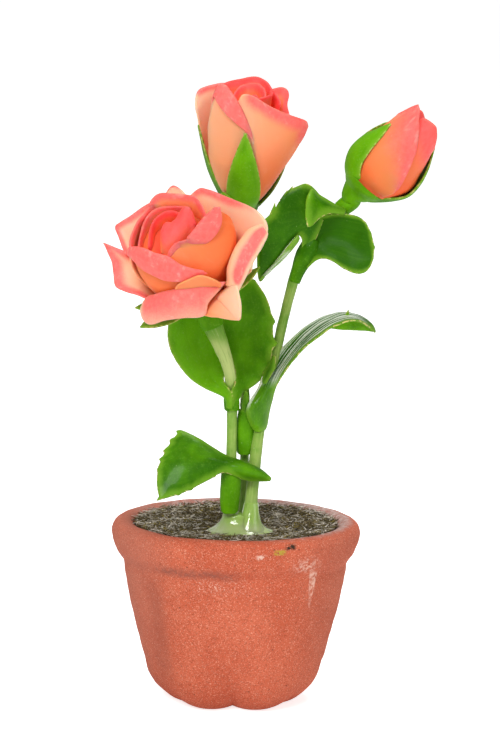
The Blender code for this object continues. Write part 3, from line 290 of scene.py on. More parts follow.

# Leaves: two margins and the rib between them, each from the leaf's foot to its tip.
# fold: 0 for an even dish from margin to margin, 1 for a sharp crease at the rib.
# teeth: (side, place along the margin, size, width); side is -1 left, 1 right, 0 the leaf's end.
# tone: 0 dark green to 1 light green, or several such tones from the leaf's foot to its tip, some of them
# darkened as painted shade.
# rim: width of the light margin. streaks: how glossy the leaf is, and how strongly its wrinkles and their
# painted highlights run along it.
# turned: 0 where the sheet's inner face is the pale underside, 1 where its outer face is.
Leaf = namedtuple("Leaf", "left rib right fold teeth tone rim streaks turned", defaults=(0.35, 0.0, 0.0))
LEAVES = {
    "leaf_low": Leaf(
        [(3.48, -5.0, 23.53), (2.28, -4.7, 24.46), (0.33, -4.6, 25.26), (-1.03, -4.5, 25.65),
         (-2.86, -4.2, 26.74), (-4.67, -3.9, 27.74), (-5.67, -3.7, 28.07)],
        [(3.51, -5.3, 23.47), (2.14, -6.0, 24.19), (0.45, -6.2, 24.79), (-1.03, -6.0, 25.08),
         (-2.91, -6.2, 25.38), (-5.17, -6.3, 25.36), (-7.83, -6.0, 24.76)],
        [(3.39, -5.2, 23.31), (2.15, -5.3, 23.28), (0.86, -5.6, 23.44), (-1.21, -6.4, 24.25),
         (-2.77, -6.9, 23.56), (-5.2, -7.5, 22.38), (-7.58, -8.0, 21.69)],
        0.1, [(0, -0.95, 0.35, 0.06), (0, -0.72, 0.4, 0.08), (0, -0.45, 0.45, 0.07),
              (0, -0.2, 0.3, 0.08), (0, 0.1, 0.15, 0.1), (0, 0.98, 0.4, 0.08), (1, 0.86, 0.14, 0.02),
              (1, 0.78, 0.16, 0.02), (1, 0.6, 0.14, 0.02)], 0.28, 0.45, 0.4, 1.0),
    "leaf_left": Leaf(
        [(-1.25, -4.3, 30.3), (-1.28, -4.6, 31.5), (-3.23, -4.9, 32.38), (-4.9, -5.2, 33.59),
         (-6.34, -5.4, 35.5), (-6.97, -5.7, 37.47), (-6.76, -5.8, 39.47), (-5.81, -5.5, 41.42)],
        [(-0.95, -4.95, 30.4), (-0.99, -5.2, 31.4), (-1.6, -4.9, 32.4), (-2.7, -4.3, 33.6),
         (-3.6, -4.0, 35.6), (-4.3, -4.2, 38.0), (-4.54, -4.6, 40.15), (-4.84, -4.9, 41.37)],
        [(-0.5, -4.95, 30.36), (-0.5, -5.35, 31.4), (-0.68, -5.72, 32.3), (-1.35, -5.25, 33.2),
         (-1.25, -4.2, 34.5), (-1.45, -3.5, 37.0), (-2.58, -3.6, 39.56), (-3.87, -4.4, 41.32)],
        0.2, [], 0.85, 0.3),
    "leaf_tall": Leaf(
        [(-0.5, -4.95, 30.36), (-0.5, -5.4, 31.4), (-0.62, -5.75, 32.3), (-0.3, -5.5, 33.2),
         (-0.35, -4.0, 34.3), (-1.64, -2.7, 36.5), (-1.9, -2.6, 40.0), (-0.77, -2.8, 43.17)],
        [(-0.24, -4.7, 30.38), (-0.2, -4.9, 31.4), (0.05, -4.7, 32.4), (0.4, -4.0, 33.4),
         (0.5, -3.1, 34.9), (0.45, -2.5, 38.0), (0.38, -2.6, 41.0), (0.32, -2.8, 43.39)],
        [(0.07, -4.1, 30.29), (0.15, -4.2, 31.31), (0.8, -3.7, 32.0), (2.1, -3.5, 33.0),
         (3.15, -3.35, 34.7), (3.41, -3.15, 37.6), (2.9, -2.95, 40.8), (1.41, -2.8, 43.21)],
        0.2, [(1, 0.46, 0.5, 0.025), (1, 0.57, 0.6, 0.03), (1, 0.68, 0.55, 0.03),
              (1, 0.78, 0.4, 0.03)], 0.55, 0.45),
    "leaf_middle": Leaf(
        [(0.55, -3.7, 29.7), (0.45, -3.8, 30.3), (0.45, -3.9, 30.9), (0.65, -4.2, 32.1)],
        [(0.8, -4.0, 29.7), (0.8, -4.1, 30.3), (0.85, -4.2, 31.0), (0.85, -4.4, 32.2)],
        [(1.1, -3.8, 29.7), (1.15, -3.8, 30.3), (1.15, -3.9, 30.9), (0.95, -4.2, 32.1)],
        0.0, [], 0.1),
    # The arched leaf's tone is dark over its middle, partly painted shade.
    "leaf_arched": Leaf(
        [(1.72, -3.9, 28.08), (1.11, -4.2, 29.12), (0.86, -4.4, 30.25), (1.22, -4.2, 31.18),
         (1.95, -3.9, 32.4), (2.6, -3.5, 34.0), (3.9, -2.7, 35.9), (7.0, -0.8, 38.5),
         (9.82, -1.2, 39.72), (11.58, -2.0, 39.7), (12.96, -2.9, 38.99), (13.55, -3.4, 38.02)],
        [(2.17, -4.1, 27.92), (2.05, -4.5, 28.89), (1.93, -4.7, 30.22), (2.31, -4.5, 31.39),
         (2.88, -3.8, 32.7), (3.85, -2.9, 34.08), (5.3, -2.6, 36.07), (7.44, -2.6, 38.11),
         (9.87, -3.2, 39.53), (11.64, -3.6, 39.51), (12.93, -3.7, 38.85), (13.55, -3.5, 38.01)],
        [(2.81, -3.5, 28.13), (3.0, -3.3, 28.71), (3.18, -3.2, 29.9), (3.45, -3.2, 31.11),
         (3.87, -3.6, 32.58), (5.01, -4.2, 34.59), (6.45, -4.6, 36.47), (8.67, -5.0, 38.35),
         (10.51, -5.2, 39.3), (11.89, -5.0, 39.4), (13.02, -4.2, 38.47), (13.51, -3.6, 37.97)],
        0.2, [(-1, 0.78, 0.6, 0.012), (-1, 0.72, 0.15, 0.01), (1, 0.5, 0.12, 0.015),
              (1, 0.6, 0.12, 0.015), (1, 0.7, 0.12, 0.015), (-1, 0.5, 0.1, 0.01)],
        (0.65, 0.5, 0.05, 0.05, 0.35), 0.45, 1.0),
    "leaf_upper_left": Leaf(
        [(5.67, -1.7, 42.88), (5.82, -2.1, 44.83), (6.1, -2.6, 46.9), (5.55, -2.7, 47.5),
         (4.6, -2.8, 46.4), (3.2, -2.9, 44.4), (1.95, -3.0, 42.9), (1.67, -3.2, 46.0), (2.19, -3.2, 49.14)],
        [(5.86, -1.8, 43.13), (6.11, -2.1, 45.07), (6.6, -2.8, 47.3), (6.7, -3.1, 48.9),
         (6.0, -3.2, 49.6), (4.9, -3.3, 49.6), (3.9, -3.35, 49.4), (3.3, -3.4, 49.6), (2.95, -3.3, 49.7)],
        [(6.1, -1.8, 43.12), (6.51, -2.1, 45.24), (7.6, -2.6, 47.47), (8.3, -2.6, 49.8),
         (7.9, -2.75, 51.3), (6.6, -2.9, 52.6), (5.45, -3.0, 52.35), (4.34, -3.1, 51.75),
         (4.1, -3.2, 50.7)],
        0.1, [(1, 0.97, 0.4, 0.02), (1, 0.92, 0.5, 0.02), (1, 0.87, 0.45, 0.02), (1, 0.81, 0.4, 0.02)],
        0.12, 0.45, 0.15),
    "leaf_upper_right": Leaf(
        [(5.93, -1.9, 44.81), (6.15, -2.3, 46.4), (6.6, -2.9, 48.0), (7.6, -3.0, 49.3),
         (8.9, -3.0, 49.7), (10.45, -3.1, 49.75), (11.5, -3.3, 49.55), (12.4, -3.5, 48.95)],
        [(6.31, -1.9, 44.86), (6.8, -2.1, 46.05), (7.46, -2.1, 47.01), (8.44, -2.0, 47.6),
         (10.0, -2.2, 47.6), (11.4, -2.7, 47.3), (12.6, -3.2, 47.1), (13.15, -3.5, 47.0)],
        [(6.6, -2.2, 44.1), (7.5, -2.6, 45.0), (8.3, -3.0, 45.25), (9.2, -3.4, 45.0),
         (10.3, -3.8, 44.35), (11.6, -3.9, 43.9), (12.6, -3.8, 44.3), (13.1, -3.7, 45.6)],
        0.1, [(0, -0.5, 0.1, 0.2), (0, 0.3, 0.12, 0.2)], (0.3, -0.1, -0.3, -0.3, -0.2), 0.3),
    "leaf_curled": Leaf(
        [(10.4, -2.6, 50.05), (8.9, -2.5, 50.85), (7.8, -2.8, 51.5), (7.05, -3.2, 52.1),
         (6.85, -3.6, 52.0)],
        [(10.3, -3.2, 49.85), (8.6, -3.6, 50.3), (7.5, -4.3, 50.7), (6.65, -5.2, 51.0),
         (6.3, -5.5, 50.5)],
        [(10.2, -3.0, 49.65), (8.9, -3.8, 49.8), (7.8, -4.6, 49.45), (7.0, -5.2, 48.7),
         (6.55, -5.5, 48.6)],
        0.0, [], (0.2, 0.1, 0.3, 0.7), 0.6, 0.2, 1.0),
}

# Small pieces beside a leaf: a torn point, a narrow second blade or the far side of a fold.
SLIVERS = {
    "leaf_upper_left": [
        Leaf([(2.6, -3.3, 49.0), (2.95, -3.3, 49.9), (3.3, -3.35, 50.68)],
             [(3.0, -3.35, 49.0), (3.15, -3.35, 49.85), (3.33, -3.35, 50.75)],
             [(3.5, -3.3, 49.2), (3.45, -3.3, 49.9), (3.37, -3.35, 50.68)],
             0.0, [], 0.3),
        Leaf([(5.71, -3.25, 47.72), (4.89, -3.3, 46.8), (3.73, -3.3, 45.29), (2.67, -3.2, 43.99),
              (1.85, -3.1, 43.08)],
             [(5.78, -3.35, 47.5), (5.15, -3.45, 46.75), (3.98, -3.45, 45.3), (2.8, -3.35, 43.95),
              (1.9, -3.15, 43.04)],
             [(5.86, -3.2, 47.3), (5.6, -3.2, 46.74), (4.42, -3.2, 45.3), (3.0, -3.1, 43.9),
              (1.95, -3.1, 43.01)],
             0.0, [], (0.3, 0.95, 0.95, 0.8), 0.3, 1.0)],
    "leaf_middle": [
        Leaf([(0.45, -2.9, 29.6), (0.25, -2.9, 30.6), (0.55, -2.9, 31.6), (0.85, -2.9, 32.3)],
             [(0.75, -3.1, 29.6), (0.7, -3.2, 30.7), (0.85, -3.1, 31.6), (0.92, -2.9, 32.35)],
             [(1.1, -2.9, 29.6), (1.15, -2.9, 30.6), (1.15, -2.9, 31.5), (1.0, -2.9, 32.3)],
             0.0, [], -0.1)],
    "leaf_arched": [
        Leaf([(9.08, -3.6, 39.07), (10.15, -3.9, 39.27), (11.03, -4.1, 39.41), (11.92, -4.2, 39.29),
              (12.63, -3.9, 38.87), (13.35, -3.5, 38.25)],
             [(9.05, -3.5, 38.7), (10.1, -3.6, 38.75), (11.0, -3.6, 38.78), (11.9, -3.6, 38.7),
              (12.65, -3.5, 38.5), (13.37, -3.45, 38.2)],
             [(9.1, -3.4, 38.38), (10.09, -3.2, 38.25), (10.99, -3.0, 38.19), (11.88, -3.0, 38.17),
              (12.67, -3.1, 38.17), (13.4, -3.4, 38.14)],
             0.0, [], 0.6, 0.2),
        Leaf([(10.4, -3.6, 39.7), (10.58, -3.8, 40.1), (10.74, -4.0, 40.38)],
             [(10.6, -3.7, 39.7), (10.68, -3.85, 40.1), (10.76, -4.0, 40.4)],
             [(10.95, -3.6, 39.7), (10.84, -3.8, 40.05), (10.78, -4.0, 40.38)],
             0.0, [], 0.5)],
    "leaf_tall": [
        Leaf([(2.1, -3.6, 32.5), (2.4, -3.5, 33.7), (2.9, -3.5, 34.6), (3.42, -3.5, 35.7)],
             [(2.3, -3.75, 32.4), (2.95, -3.85, 33.75), (3.3, -3.85, 34.6), (3.55, -3.75, 35.7)],
             [(2.53, -3.8, 32.3), (3.4, -3.85, 33.9), (3.7, -3.8, 34.6), (3.68, -3.7, 35.7)],
             0.0, [], -0.3)],
}

# Clasps: the foot of a leaf that lies round the front of its stem, as (x, y, z, radius), and its tone.
CLASPS = {
    "leaf_low": ([(-0.62, -4.45, 19.9, 0.72), (-0.60, -4.5, 21.4, 0.86), (-0.55, -4.7, 23.0, 0.90),
                  (-0.50, -5.1, 24.6, 0.85)], 0.6),
    "leaf_left": ([(-0.55, -4.3, 30.2, 0.64), (-0.58, -4.35, 30.9, 0.68), (-0.62, -4.45, 31.8, 0.66)],
                  0.55),
    "leaf_middle": ([(0.72, -3.1, 25.6, 0.60), (0.76, -3.2, 27.0, 0.78), (0.80, -3.3, 28.6, 0.80),
                     (0.85, -3.4, 30.2, 0.62)], 0.55),
}

# Sleeves: a leaf's foot that closes all round its stem, as (x, y, z, radius), and its tones.
SLEEVES = {
    "leaf_upper_left": ([(5.4, -1.65, 42.7, 0.56), (5.68, -1.55, 43.6, 0.66), (6.05, -1.6, 44.6, 0.84),
                         (6.5, -1.8, 45.5, 1.0), (6.95, -2.0, 46.4, 0.95), (7.3, -2.1, 47.2, 0.6)],
                        (0.6, 0.3, 0.0)),
}

# Blooms: the base of the petals and the way the bloom faces; its core, petals and sepals; the cup
# under them as (height, radius); the stem that carries it, and the cup's tone.
Bloom = namedtuple("Bloom", "base facing core petals sepals cup stem tone")
BLOOMS = {
    "open_rose": Bloom((-4.0, -7.6, 42.5), (-0.262, -0.700, 0.665), OPEN_CORE, OPEN_PETALS, OPEN_SEPALS,
                       [(-1.5, 1.5), (0.2, 1.7)], "stem_left", 0.6),
    "half_open_rose": Bloom((0.2, -0.6, 50.4), (0.02, -0.20, 0.98), HALF_CORE, HALF_PETALS, HALF_SEPALS,
                            [(-1.2, 1.2), (0.2, 1.7)], "stem_back", 0.6),
    "rosebud": Bloom((11.4, -2.0, 52.0), (0.66, -0.20, 0.73), BUD_CORE, BUD_PETALS, BUD_SEPALS,
                     [(-0.7, 1.1), (0.2, 1.7), (0.8, 2.3), (1.4, 2.7)], "stem_right", 0.7),
}

# Studio: softboxes as (name, place, size, power), and the camera. Places and sizes are in metres,
# power is in watts, lens and sensor are in millimetres, and angles are in degrees.
SOFTBOXES = [("key softbox", (-0.18, -0.50, 0.42), 0.28, 2.6),
             ("top softbox", (0.10, 0.10, 0.55), 0.30, 1.7),
             ("fill softbox", (0.50, -0.40, 0.20), 0.40, 0.6)]
LIT_PLACE = (0, 0, 0.035)
# The share of the white room's brightness that falls on the object; the camera sees all of it.
ROOM_LIGHT = 0.32
CAMERA_PLACE = (0.00118, -0.3095, 0.07881)
CAMERA_LENS, CAMERA_SENSOR = 150, 36
CAMERA_DOWN = 8.4
CAMERA_LEAN = 1.0

GRAIN = np.random.default_rng(8)


# Shapes

def on_curve(points, t):
    """The places at t, from 0 to 1, on a smooth curve through the points."""
    p = np.asarray(points, float)
    p = np.vstack([2 * p[0] - p[1], p, 2 * p[-1] - p[-2]])
    at = np.clip(t, 0, 1) * (len(p) - 3)
    i = np.minimum(at.astype(int), len(p) - 4)
    f = (at - i)[..., None]
    p0, p1, p2, p3 = p[i], p[i + 1], p[i + 2], p[i + 3]
    return 0.5 * (2 * p1 + (p2 - p0) * f + (2 * p0 - 5 * p1 + 4 * p2 - p3) * f ** 2
                  + (3 * p1 - p0 - 3 * p2 + p3) * f ** 3)


def unit(v):
    return v / np.maximum(np.linalg.norm(v, axis=-1, keepdims=True), 1e-9)


def smooth(low, high, x):
    """A soft step from 0 at low to 1 at high."""
    f = np.clip((x - low) / (high - low), 0, 1)
    return f * f * (3 - 2 * f)


def between(ends, share):
    """The value at that share of the way from the first of two ends to the second."""
    return ends[0] + (ends[1] - ends[0]) * share


def unevenness(points, size, seed):
    """Soft noise from about -1 to 1 for each point, with lumps of that size."""
    shift = Vector((seed * 7.3, seed * 3.1, seed * 5.7))
    flat = np.asarray(points).reshape(-1, 3)
    found = [noise.noise(Vector(p) / size + shift) for p in flat]
    return np.array(found).reshape(np.asarray(points).shape[:-1])


def lumps(points, sizes, seed):
    """Lumps of several sizes, each given as (depth, size)."""
    return sum(depth * unevenness(points, size, seed + n) for n, (depth, size) in enumerate(sizes))


class Shape:
    """The points, faces and marks of one piece. Marks are numbers that its finish reads."""

    # edge: distance from the nearest margin. along: 0 at the foot, 1 at the tip. across: from one
    # margin to the other. inner: 0 on the outer face of a sheet, 1 on its inner face. kind: which
    # fibre. flush: how red a petal is. pink: how pink it is. The rest are as in the tables.
    MARKS = ("edge", "along", "across", "inner", "rim", "tone", "flush", "kind", "pink", "streaks",
             "turned")

    def __init__(self):
        self.points, self.faces, self.count = [], [], 0
        self.marks = {mark: [] for mark in self.MARKS}

    def add(self, points, faces, **marks):
        points = np.asarray(points, float).reshape(-1, 3)
        self.points.append(points)
        self.faces.extend((np.asarray(faces) + self.count).tolist())
        for mark in self.MARKS:
            value = np.asarray(marks.get(mark, 0.0), float).reshape(-1)
            self.marks[mark].append(np.broadcast_to(value, (len(points),)))
        self.count += len(points)

    def piece(self, name, finish, nodes):
        """The finished piece in metres, riding on the frame in place of the CAD nodes."""
        mesh = bpy.data.meshes.new(name)
        mesh.from_pydata((np.vstack(self.points) * MM).tolist(), [], self.faces)
        for mark in self.MARKS:
            values = np.concatenate(self.marks[mark]).astype(np.float32)
            if values.any():
                mesh.attributes.new(mark, "FLOAT", "POINT").data.foreach_set("value", values)
        mesh.shade_smooth()
        mesh.materials.append(finish)
        made = bpy.data.objects.new(name, mesh)
        bpy.context.scene.collection.objects.link(made)
        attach(made, "root")
        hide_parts(*nodes)


def ring_body(shape, rings, **marks):
    """A closed body through rings [ring, side, xyz], with a fan of faces at each end.

    A mark is one number, a number for each ring, or one for each point.
    """
    rings = np.asarray(rings)
    count, sides = rings.shape[:2]
    index = np.arange(count * sides).reshape(count, sides)
    low, high = index[:-1], index[1:]
    quads = np.stack([low, np.roll(low, -1, 1), np.roll(high, -1, 1), high], -1).reshape(-1, 4)
    first, last = count * sides, count * sides + 1
    fans = [(first, b, a) for a, b in zip(index[0], np.roll(index[0], -1))]
    fans += [(last, a, b) for a, b in zip(index[-1], np.roll(index[-1], -1))]
    points = np.vstack([rings.reshape(-1, 3), rings[0].mean(0), rings[-1].mean(0)])
    along, across = np.meshgrid(np.linspace(0, 1, count), np.linspace(0, 1, sides), indexing="ij")
    for mark, value in marks.items():
        if np.ndim(value) == 1 and len(value) == count:
            marks[mark] = np.append(np.repeat(value, sides), (value[0], value[-1]))
    start = shape.count
    shape.add(points, quads, along=np.append(along.ravel(), (0, 1)),
              across=np.append(across.ravel(), (0.5, 0.5)), **marks)
    shape.faces.extend([tuple(int(i) + start for i in fan) for fan in fans])


def spread(steps, tight):
    """Even steps from 0 to 1, drawn closer towards both ends."""
    even = np.linspace(0, 1, steps)
    return even * (1 - tight) + 0.5 * (1 - np.cos(math.pi * even)) * tight


def margin_distance(middle, open_foot=False):
    """For each point of a grid, how far the nearest margin is along the sheet."""
    def both_ways(axis):
        steps = np.linalg.norm(np.diff(middle, axis=axis), axis=-1)
        zero = np.zeros_like(np.take(steps, [0], axis))
        run = np.concatenate([zero, np.cumsum(steps, axis)], axis)
        back = np.take(run, [-1], axis) - run
        return back if open_foot and axis == 0 else np.minimum(run, back)
    return np.minimum(both_ways(0), both_ways(1))


def grid_normals(middle):
    return unit(np.cross(np.gradient(middle, axis=1), np.gradient(middle, axis=0)))


def raised(middle, lift):
    """The grid moved along its normals."""
    return middle + grid_normals(middle) * lift[..., None]


def along_path(path, t):
    """Places and radii at t on a path of (x, y, z, radius)."""
    found = on_curve(path, t)
    return found[..., :3], found[..., 3]


def thin_sheet(shape, middle, thickness, thin_margin=0.5, **marks):
    """A closed sheet with rounded margins on a grid of middle points [along, across, xyz].

    thin_margin is the share of the thickness that is left at the margin.
    """
    rows, columns = middle.shape[:2]
    edge = margin_distance(middle)
    depth = thickness * (thin_margin + (1 - thin_margin) * smooth(0.0, MARGIN_TAPER, edge))
    half = depth / 2 * np.sqrt(1 - (1 - np.clip(edge / (thickness * 0.45), 0, 1)) ** 2)
    outer, inner = raised(middle, half), raised(middle, -half)[1:-1, 1:-1]
    front = np.arange(rows * columns).reshape(rows, columns)
    back = front.copy()
    back[1:-1, 1:-1] = rows * columns + np.arange((rows - 2) * (columns - 2)).reshape(rows - 2, -1)

    def quads(index, turned):
        corners = [index[:-1, :-1], index[:-1, 1:], index[1:, 1:], index[1:, :-1]]
        return np.stack(corners[::-1] if turned else corners, -1).reshape(-1, 4)

    def both_faces(grid):
        return np.concatenate([grid.ravel(), grid[1:-1, 1:-1].ravel()])

    along, across = np.meshgrid(np.linspace(0, 1, rows), np.linspace(-1, 1, columns), indexing="ij")
    side = np.concatenate([np.zeros(rows * columns), np.ones((rows - 2) * (columns - 2))])
    side[:rows * columns][(edge == 0).ravel()] = 0.5
    marks = {mark: both_faces(value) if np.ndim(value) == 2 else value for mark, value in marks.items()}
    shape.add(np.vstack([outer.reshape(-1, 3), inner.reshape(-1, 3)]),
              np.vstack([quads(front, False), quads(back, True)]), edge=both_faces(edge),
              along=both_faces(along), across=both_faces(across), inner=side, **marks)


def tube_rings(path, rings, sides, bumps, seed):
    """Rings along a path of (x, y, z, radius), dented in streaks that run along it."""
    stations, radii = along_path(path, spread(rings, 0.3))
    ahead = unit(np.gradient(stations, axis=0))
    side = np.zeros_like(ahead)
    last = np.array([1.0, 0, 0])
    for i, way in enumerate(ahead):
        last = last - way * last.dot(way)
        side[i] = last = last / np.linalg.norm(last)
    up = np.cross(ahead, side)
    angle = np.linspace(0, TURN, sides, endpoint=False)
    out = side[:, None] * np.cos(angle)[None, :, None] + up[:, None] * np.sin(angle)[None, :, None]
    points = stations[:, None] + out * radii[:, None, None]
    dents = unevenness(points * (1, 1, 0.35), 0.5, seed)
    dents = dents + 0.5 * unevenness(points * (1, 1, 0.2), 0.2, seed)
    return points + out * (bumps * dents)[..., None]


def polar(rail):
    """Points from (turn in degrees, distance, height), in a bloom's own frame with its axis along Z."""
    turn = np.radians(rail[..., 0])
    return np.stack([rail[..., 1] * np.cos(turn), rail[..., 1] * np.sin(turn), rail[..., 2]], -1)


def petal_middle(petal, columns, rows):
    """The petal's grid of middle points, and how far each is across its lip: below 0 under the crest."""
    s = spread(columns, 0.6)
    crest = on_curve(petal.crest, s)
    foot_turn = between(petal.foot, s)
    rails = [np.stack([foot_turn] + [np.full(columns, k) for k in PETAL_FOOT], -1)]
    for ends in zip(petal.start, petal.end):
        distance, height = [between(pair, s) for pair in zip(*ends)]
        share = np.clip(height / crest[:, 2], 0, 1) ** 1.5
        rails.append(np.stack([foot_turn + (crest[:, 0] - foot_turn) * share, distance, height], -1))
    rails = [polar(rail) for rail in rails + [crest]]
    below = len(rails) - 1
    if petal.lip:
        # One more rail halfway across the lip, puffed upwards and outwards.
        lip = polar(on_curve(petal.lip, s))
        width = np.linalg.norm(lip - rails[-1], axis=-1, keepdims=True)
        away = unit(lip * (1, 1, 0)) * 0.55 + np.array([0, 0, 0.85])
        rails += [(lip + rails[-1]) / 2 + away * width * 0.14, lip]
    t = spread(rows, 0.3)
    middle = on_curve(np.array(rails).reshape(len(rails), -1), t).reshape(rows, columns, 3)
    beyond = (t * (len(rails) - 1) - below) / 2
    return middle, np.repeat(beyond[:, None], columns, 1)


def sepal_middle(sepal, columns, rows):
    """The sepal's grid of middle points, pointed at its tip and bent round the bloom."""
    s, t = np.meshgrid(2 * spread(columns, 0.75) - 1, spread(rows, 0.6))
    line = on_curve(sepal.line, t)
    r, h = line[..., 0], line[..., 1]
    ahead = unit(on_curve(sepal.line, t + 0.02) - on_curve(sepal.line, t - 0.02))
    width = sepal.half_width * np.maximum(np.sin(math.pi * (0.25 + 0.75 * t)).clip(0) ** 0.8, 0.1)
    bend = width * np.abs(s) / (r * sepal.wrap)
    x = width * s * np.sinc(bend / math.pi)
    z = width * np.abs(s) * np.sinc(bend / TURN) ** 2 * bend / 2
    out, high = r - ahead[..., 1] * z, h + ahead[..., 0] * z
    turn = math.radians(sepal.turn)
    outward = np.array([math.cos(turn), math.sin(turn), 0])
    sideways = np.array([-math.sin(turn), math.cos(turn), 0])
    return out[..., None] * outward + x[..., None] * sideways + high[..., None] * np.array([0, 0, 1.0])


def bloom_frame(bloom):
    """The axes and the place that stand a bloom's own frame on its base."""
    up = unit(np.array(bloom.facing))
    right = unit(np.array([1.0, 0, 0]) - up * up[0])
    return np.array([right, np.cross(up, right), up]), np.array(bloom.base)


def placed(points, stand):
    return points @ stand[0] + stand[1]


def petal_pink(petal, edge, beyond, s, t, free):
    """How pink each point of a petal is: on its margin, its lip, a stripe along the lip, its top."""
    first, last = petal.reach
    painted = smooth(first - 0.12, first + 0.12, s) * smooth(last + 0.12, last - 0.12, s)
    band = smooth(petal.rim * 1.3, 0.0, edge) * smooth(0.5, 0.85, t) if petal.rim else 0 * edge
    on_lip = petal.lip_pink * smooth(-0.12, 0.1, beyond) * (1 - petal.fade * beyond)
    pink = np.maximum(band, on_lip) * painted * free
    stripe = np.exp(-((beyond - 0.55) / 0.26) ** 2) * smooth(0.02, 0.2, s) * smooth(1.0, 0.84, s)
    pink = np.maximum(pink, petal.stripe * stripe * (beyond > 0))
    return np.maximum(pink, petal.blush * smooth(0.66, 1.05, t + 0.12 * (s - 0.5)))


def lay_petals(shape, petals, stand, columns=56, rows=60):
    s, t = np.linspace(0, 1, columns)[None, :], np.linspace(0, 1, rows)[:, None]
    free = smooth(0.35, 0.8, t)
    for number, petal in enumerate(petals):
        middle, beyond = petal_middle(petal, columns, rows)
        middle = placed(middle, stand)
        edge = margin_distance(middle, open_foot=True)
        near = np.clip(1 - edge / 1.1, 0, 1)
        # The free margins curl outwards a little, and the whole sheet is uneven.
        lift = (0.0 if petal.lip else 0.16) * near ** 2 * free
        lift = lift + free * (0.04 + 0.05 * near) * unevenness(middle, 1.5, number + petal.foot[0] / 90)
        thin_sheet(shape, raised(middle, lift), PETAL_THICKNESS, tone=between(petal.tone, s) + 0 * t,
                   flush=petal.red, pink=petal_pink(petal, edge, beyond, s, t, free))


def lay_sepals(shape, sepals, stand, columns=28, rows=44):
    free = smooth(0.35, 0.8, np.linspace(0, 1, rows))[:, None]
    for number, sepal in enumerate(sepals):
        middle = placed(sepal_middle(sepal, columns, rows), stand)
        lift = 0.07 * free * unevenness(middle, 1.6, number + sepal.turn / 90)
        thin_sheet(shape, raised(middle, lift), SEPAL_THICKNESS, rim=0.3, tone=sepal.tone)


def ring_grid(outline, segments):
    """Radius and height [ring, side] of a body round Z, and the turn of each side."""
    outline = np.asarray(outline, float)
    angle = np.linspace(0, TURN, segments, endpoint=False)
    return np.repeat(outline[:, :1], segments, 1), np.repeat(outline[:, 1:], segments, 1), angle


def around(r, z, angle):
    """Points at that radius, height and angle round Z."""
    return np.stack([r * np.cos(angle), r * np.sin(angle), z], -1)


def lobed(r, z, angle):
    """The pot's outside radius, drawn in at the grooves between its lobes and low at its two sides."""
    groove = (1 - np.abs(np.cos(LOBES / 2 * angle))) * (0.5 + 0.5 * np.sin(angle) ** 6)
    at_foot = np.clip(1 - z / LOBE_TOP, 0, 1) ** 2
    up_wall = np.clip(1 - z / GROOVE_TOP, 0, 1)
    side = np.cos(angle) ** 2
    waist = WAIST_DEPTH * side ** 2 * np.exp(-((z - WAIST_HEIGHT) / WAIST_WIDTH) ** 2)
    return r - groove * (LOBE_DEPTH * at_foot * (1 - 0.6 * side) + GROOVE_DEPTH * up_wall) - waist


def leaf_middle(leaf, columns, rows, seed):
    """The blade's grid of middle points, from margin to margin and from foot to tip."""
    s, t = np.meshgrid(2 * spread(columns, 0.7) - 1, spread(rows, 0.3))
    t = 0.005 + 0.985 * t
    left, rib, right = [on_curve(rail, t) for rail in (leaf.left, leaf.rib, leaf.right)]
    s3, size = s[..., None], np.abs(s)[..., None]
    dish = rib + (right - left) * (s3 / 2) + ((right + left) / 2 - rib) * s3 ** 2
    crease = rib + (np.where(s3 > 0, right, left) - rib) * size
    middle = dish + (crease - dish) * leaf.fold
    sideways = unit(np.gradient(middle, axis=1))
    ahead = unit(np.gradient(middle, axis=0))
    push, forward = np.zeros_like(s), np.zeros_like(s)
    for side, place, amount, width in leaf.teeth:
        if side:
            tooth = np.clip(1 - np.abs(t - place) / width, 0, 1) ** 1.3
            push += side * amount * tooth * (s * side).clip(0) ** 14
        else:
            tooth = np.clip(1 - np.abs(s - place) / width, 0, 1)
            forward += amount * tooth * smooth(0.9, 1.0, t)
    middle = middle + sideways * push[..., None] + ahead * forward[..., None]
    free = smooth(0.15, 0.5, t)
    lift = 0.07 * free * unevenness(middle, 1.5, seed)
    lift = lift + 0.04 * free * np.abs(s) ** 3 * unevenness(middle, 0.6, seed + 5)
    return raised(middle, lift)


def from_foot_to_tip(tones, rows):
    """One tone or several, spread over the rows of a leaf."""
    tones = np.atleast_1d(tones)
    return np.interp(np.linspace(0, 1, rows), np.linspace(0, 1, len(tones)), tones)


def lay_leaf(shape, leaf, thickness, seed, columns=36, rows=90):
    tone = np.repeat(from_foot_to_tip(leaf.tone, rows)[:, None], columns, 1)
    thin_sheet(shape, leaf_middle(leaf, columns, rows, seed), thickness, 0.45, tone=tone,
               rim=leaf.rim, streaks=leaf.streaks, turned=leaf.turned)


def lay_clasp(shape, path, tone, seed, rows=36, columns=28):
    """A leaf foot that lies round the front of its stem."""
    s, t = np.meshgrid(2 * spread(columns, 0.7) - 1, spread(rows, 0.6))
    centre, radius = along_path(path, t)
    reach = math.radians(118) * np.sqrt(np.clip(1 - (1 - np.clip(t / 0.16, 0, 1)) ** 2, 0.01, 1))
    angle = -math.pi / 2 + reach * s
    middle = centre + around(radius, np.zeros_like(s), angle)
    middle = raised(middle, 0.04 * unevenness(middle, 1.0, seed))
    thin_sheet(shape, middle, CLASP_THICKNESS, 0.6, tone=tone, rim=0.15)


# Finishes

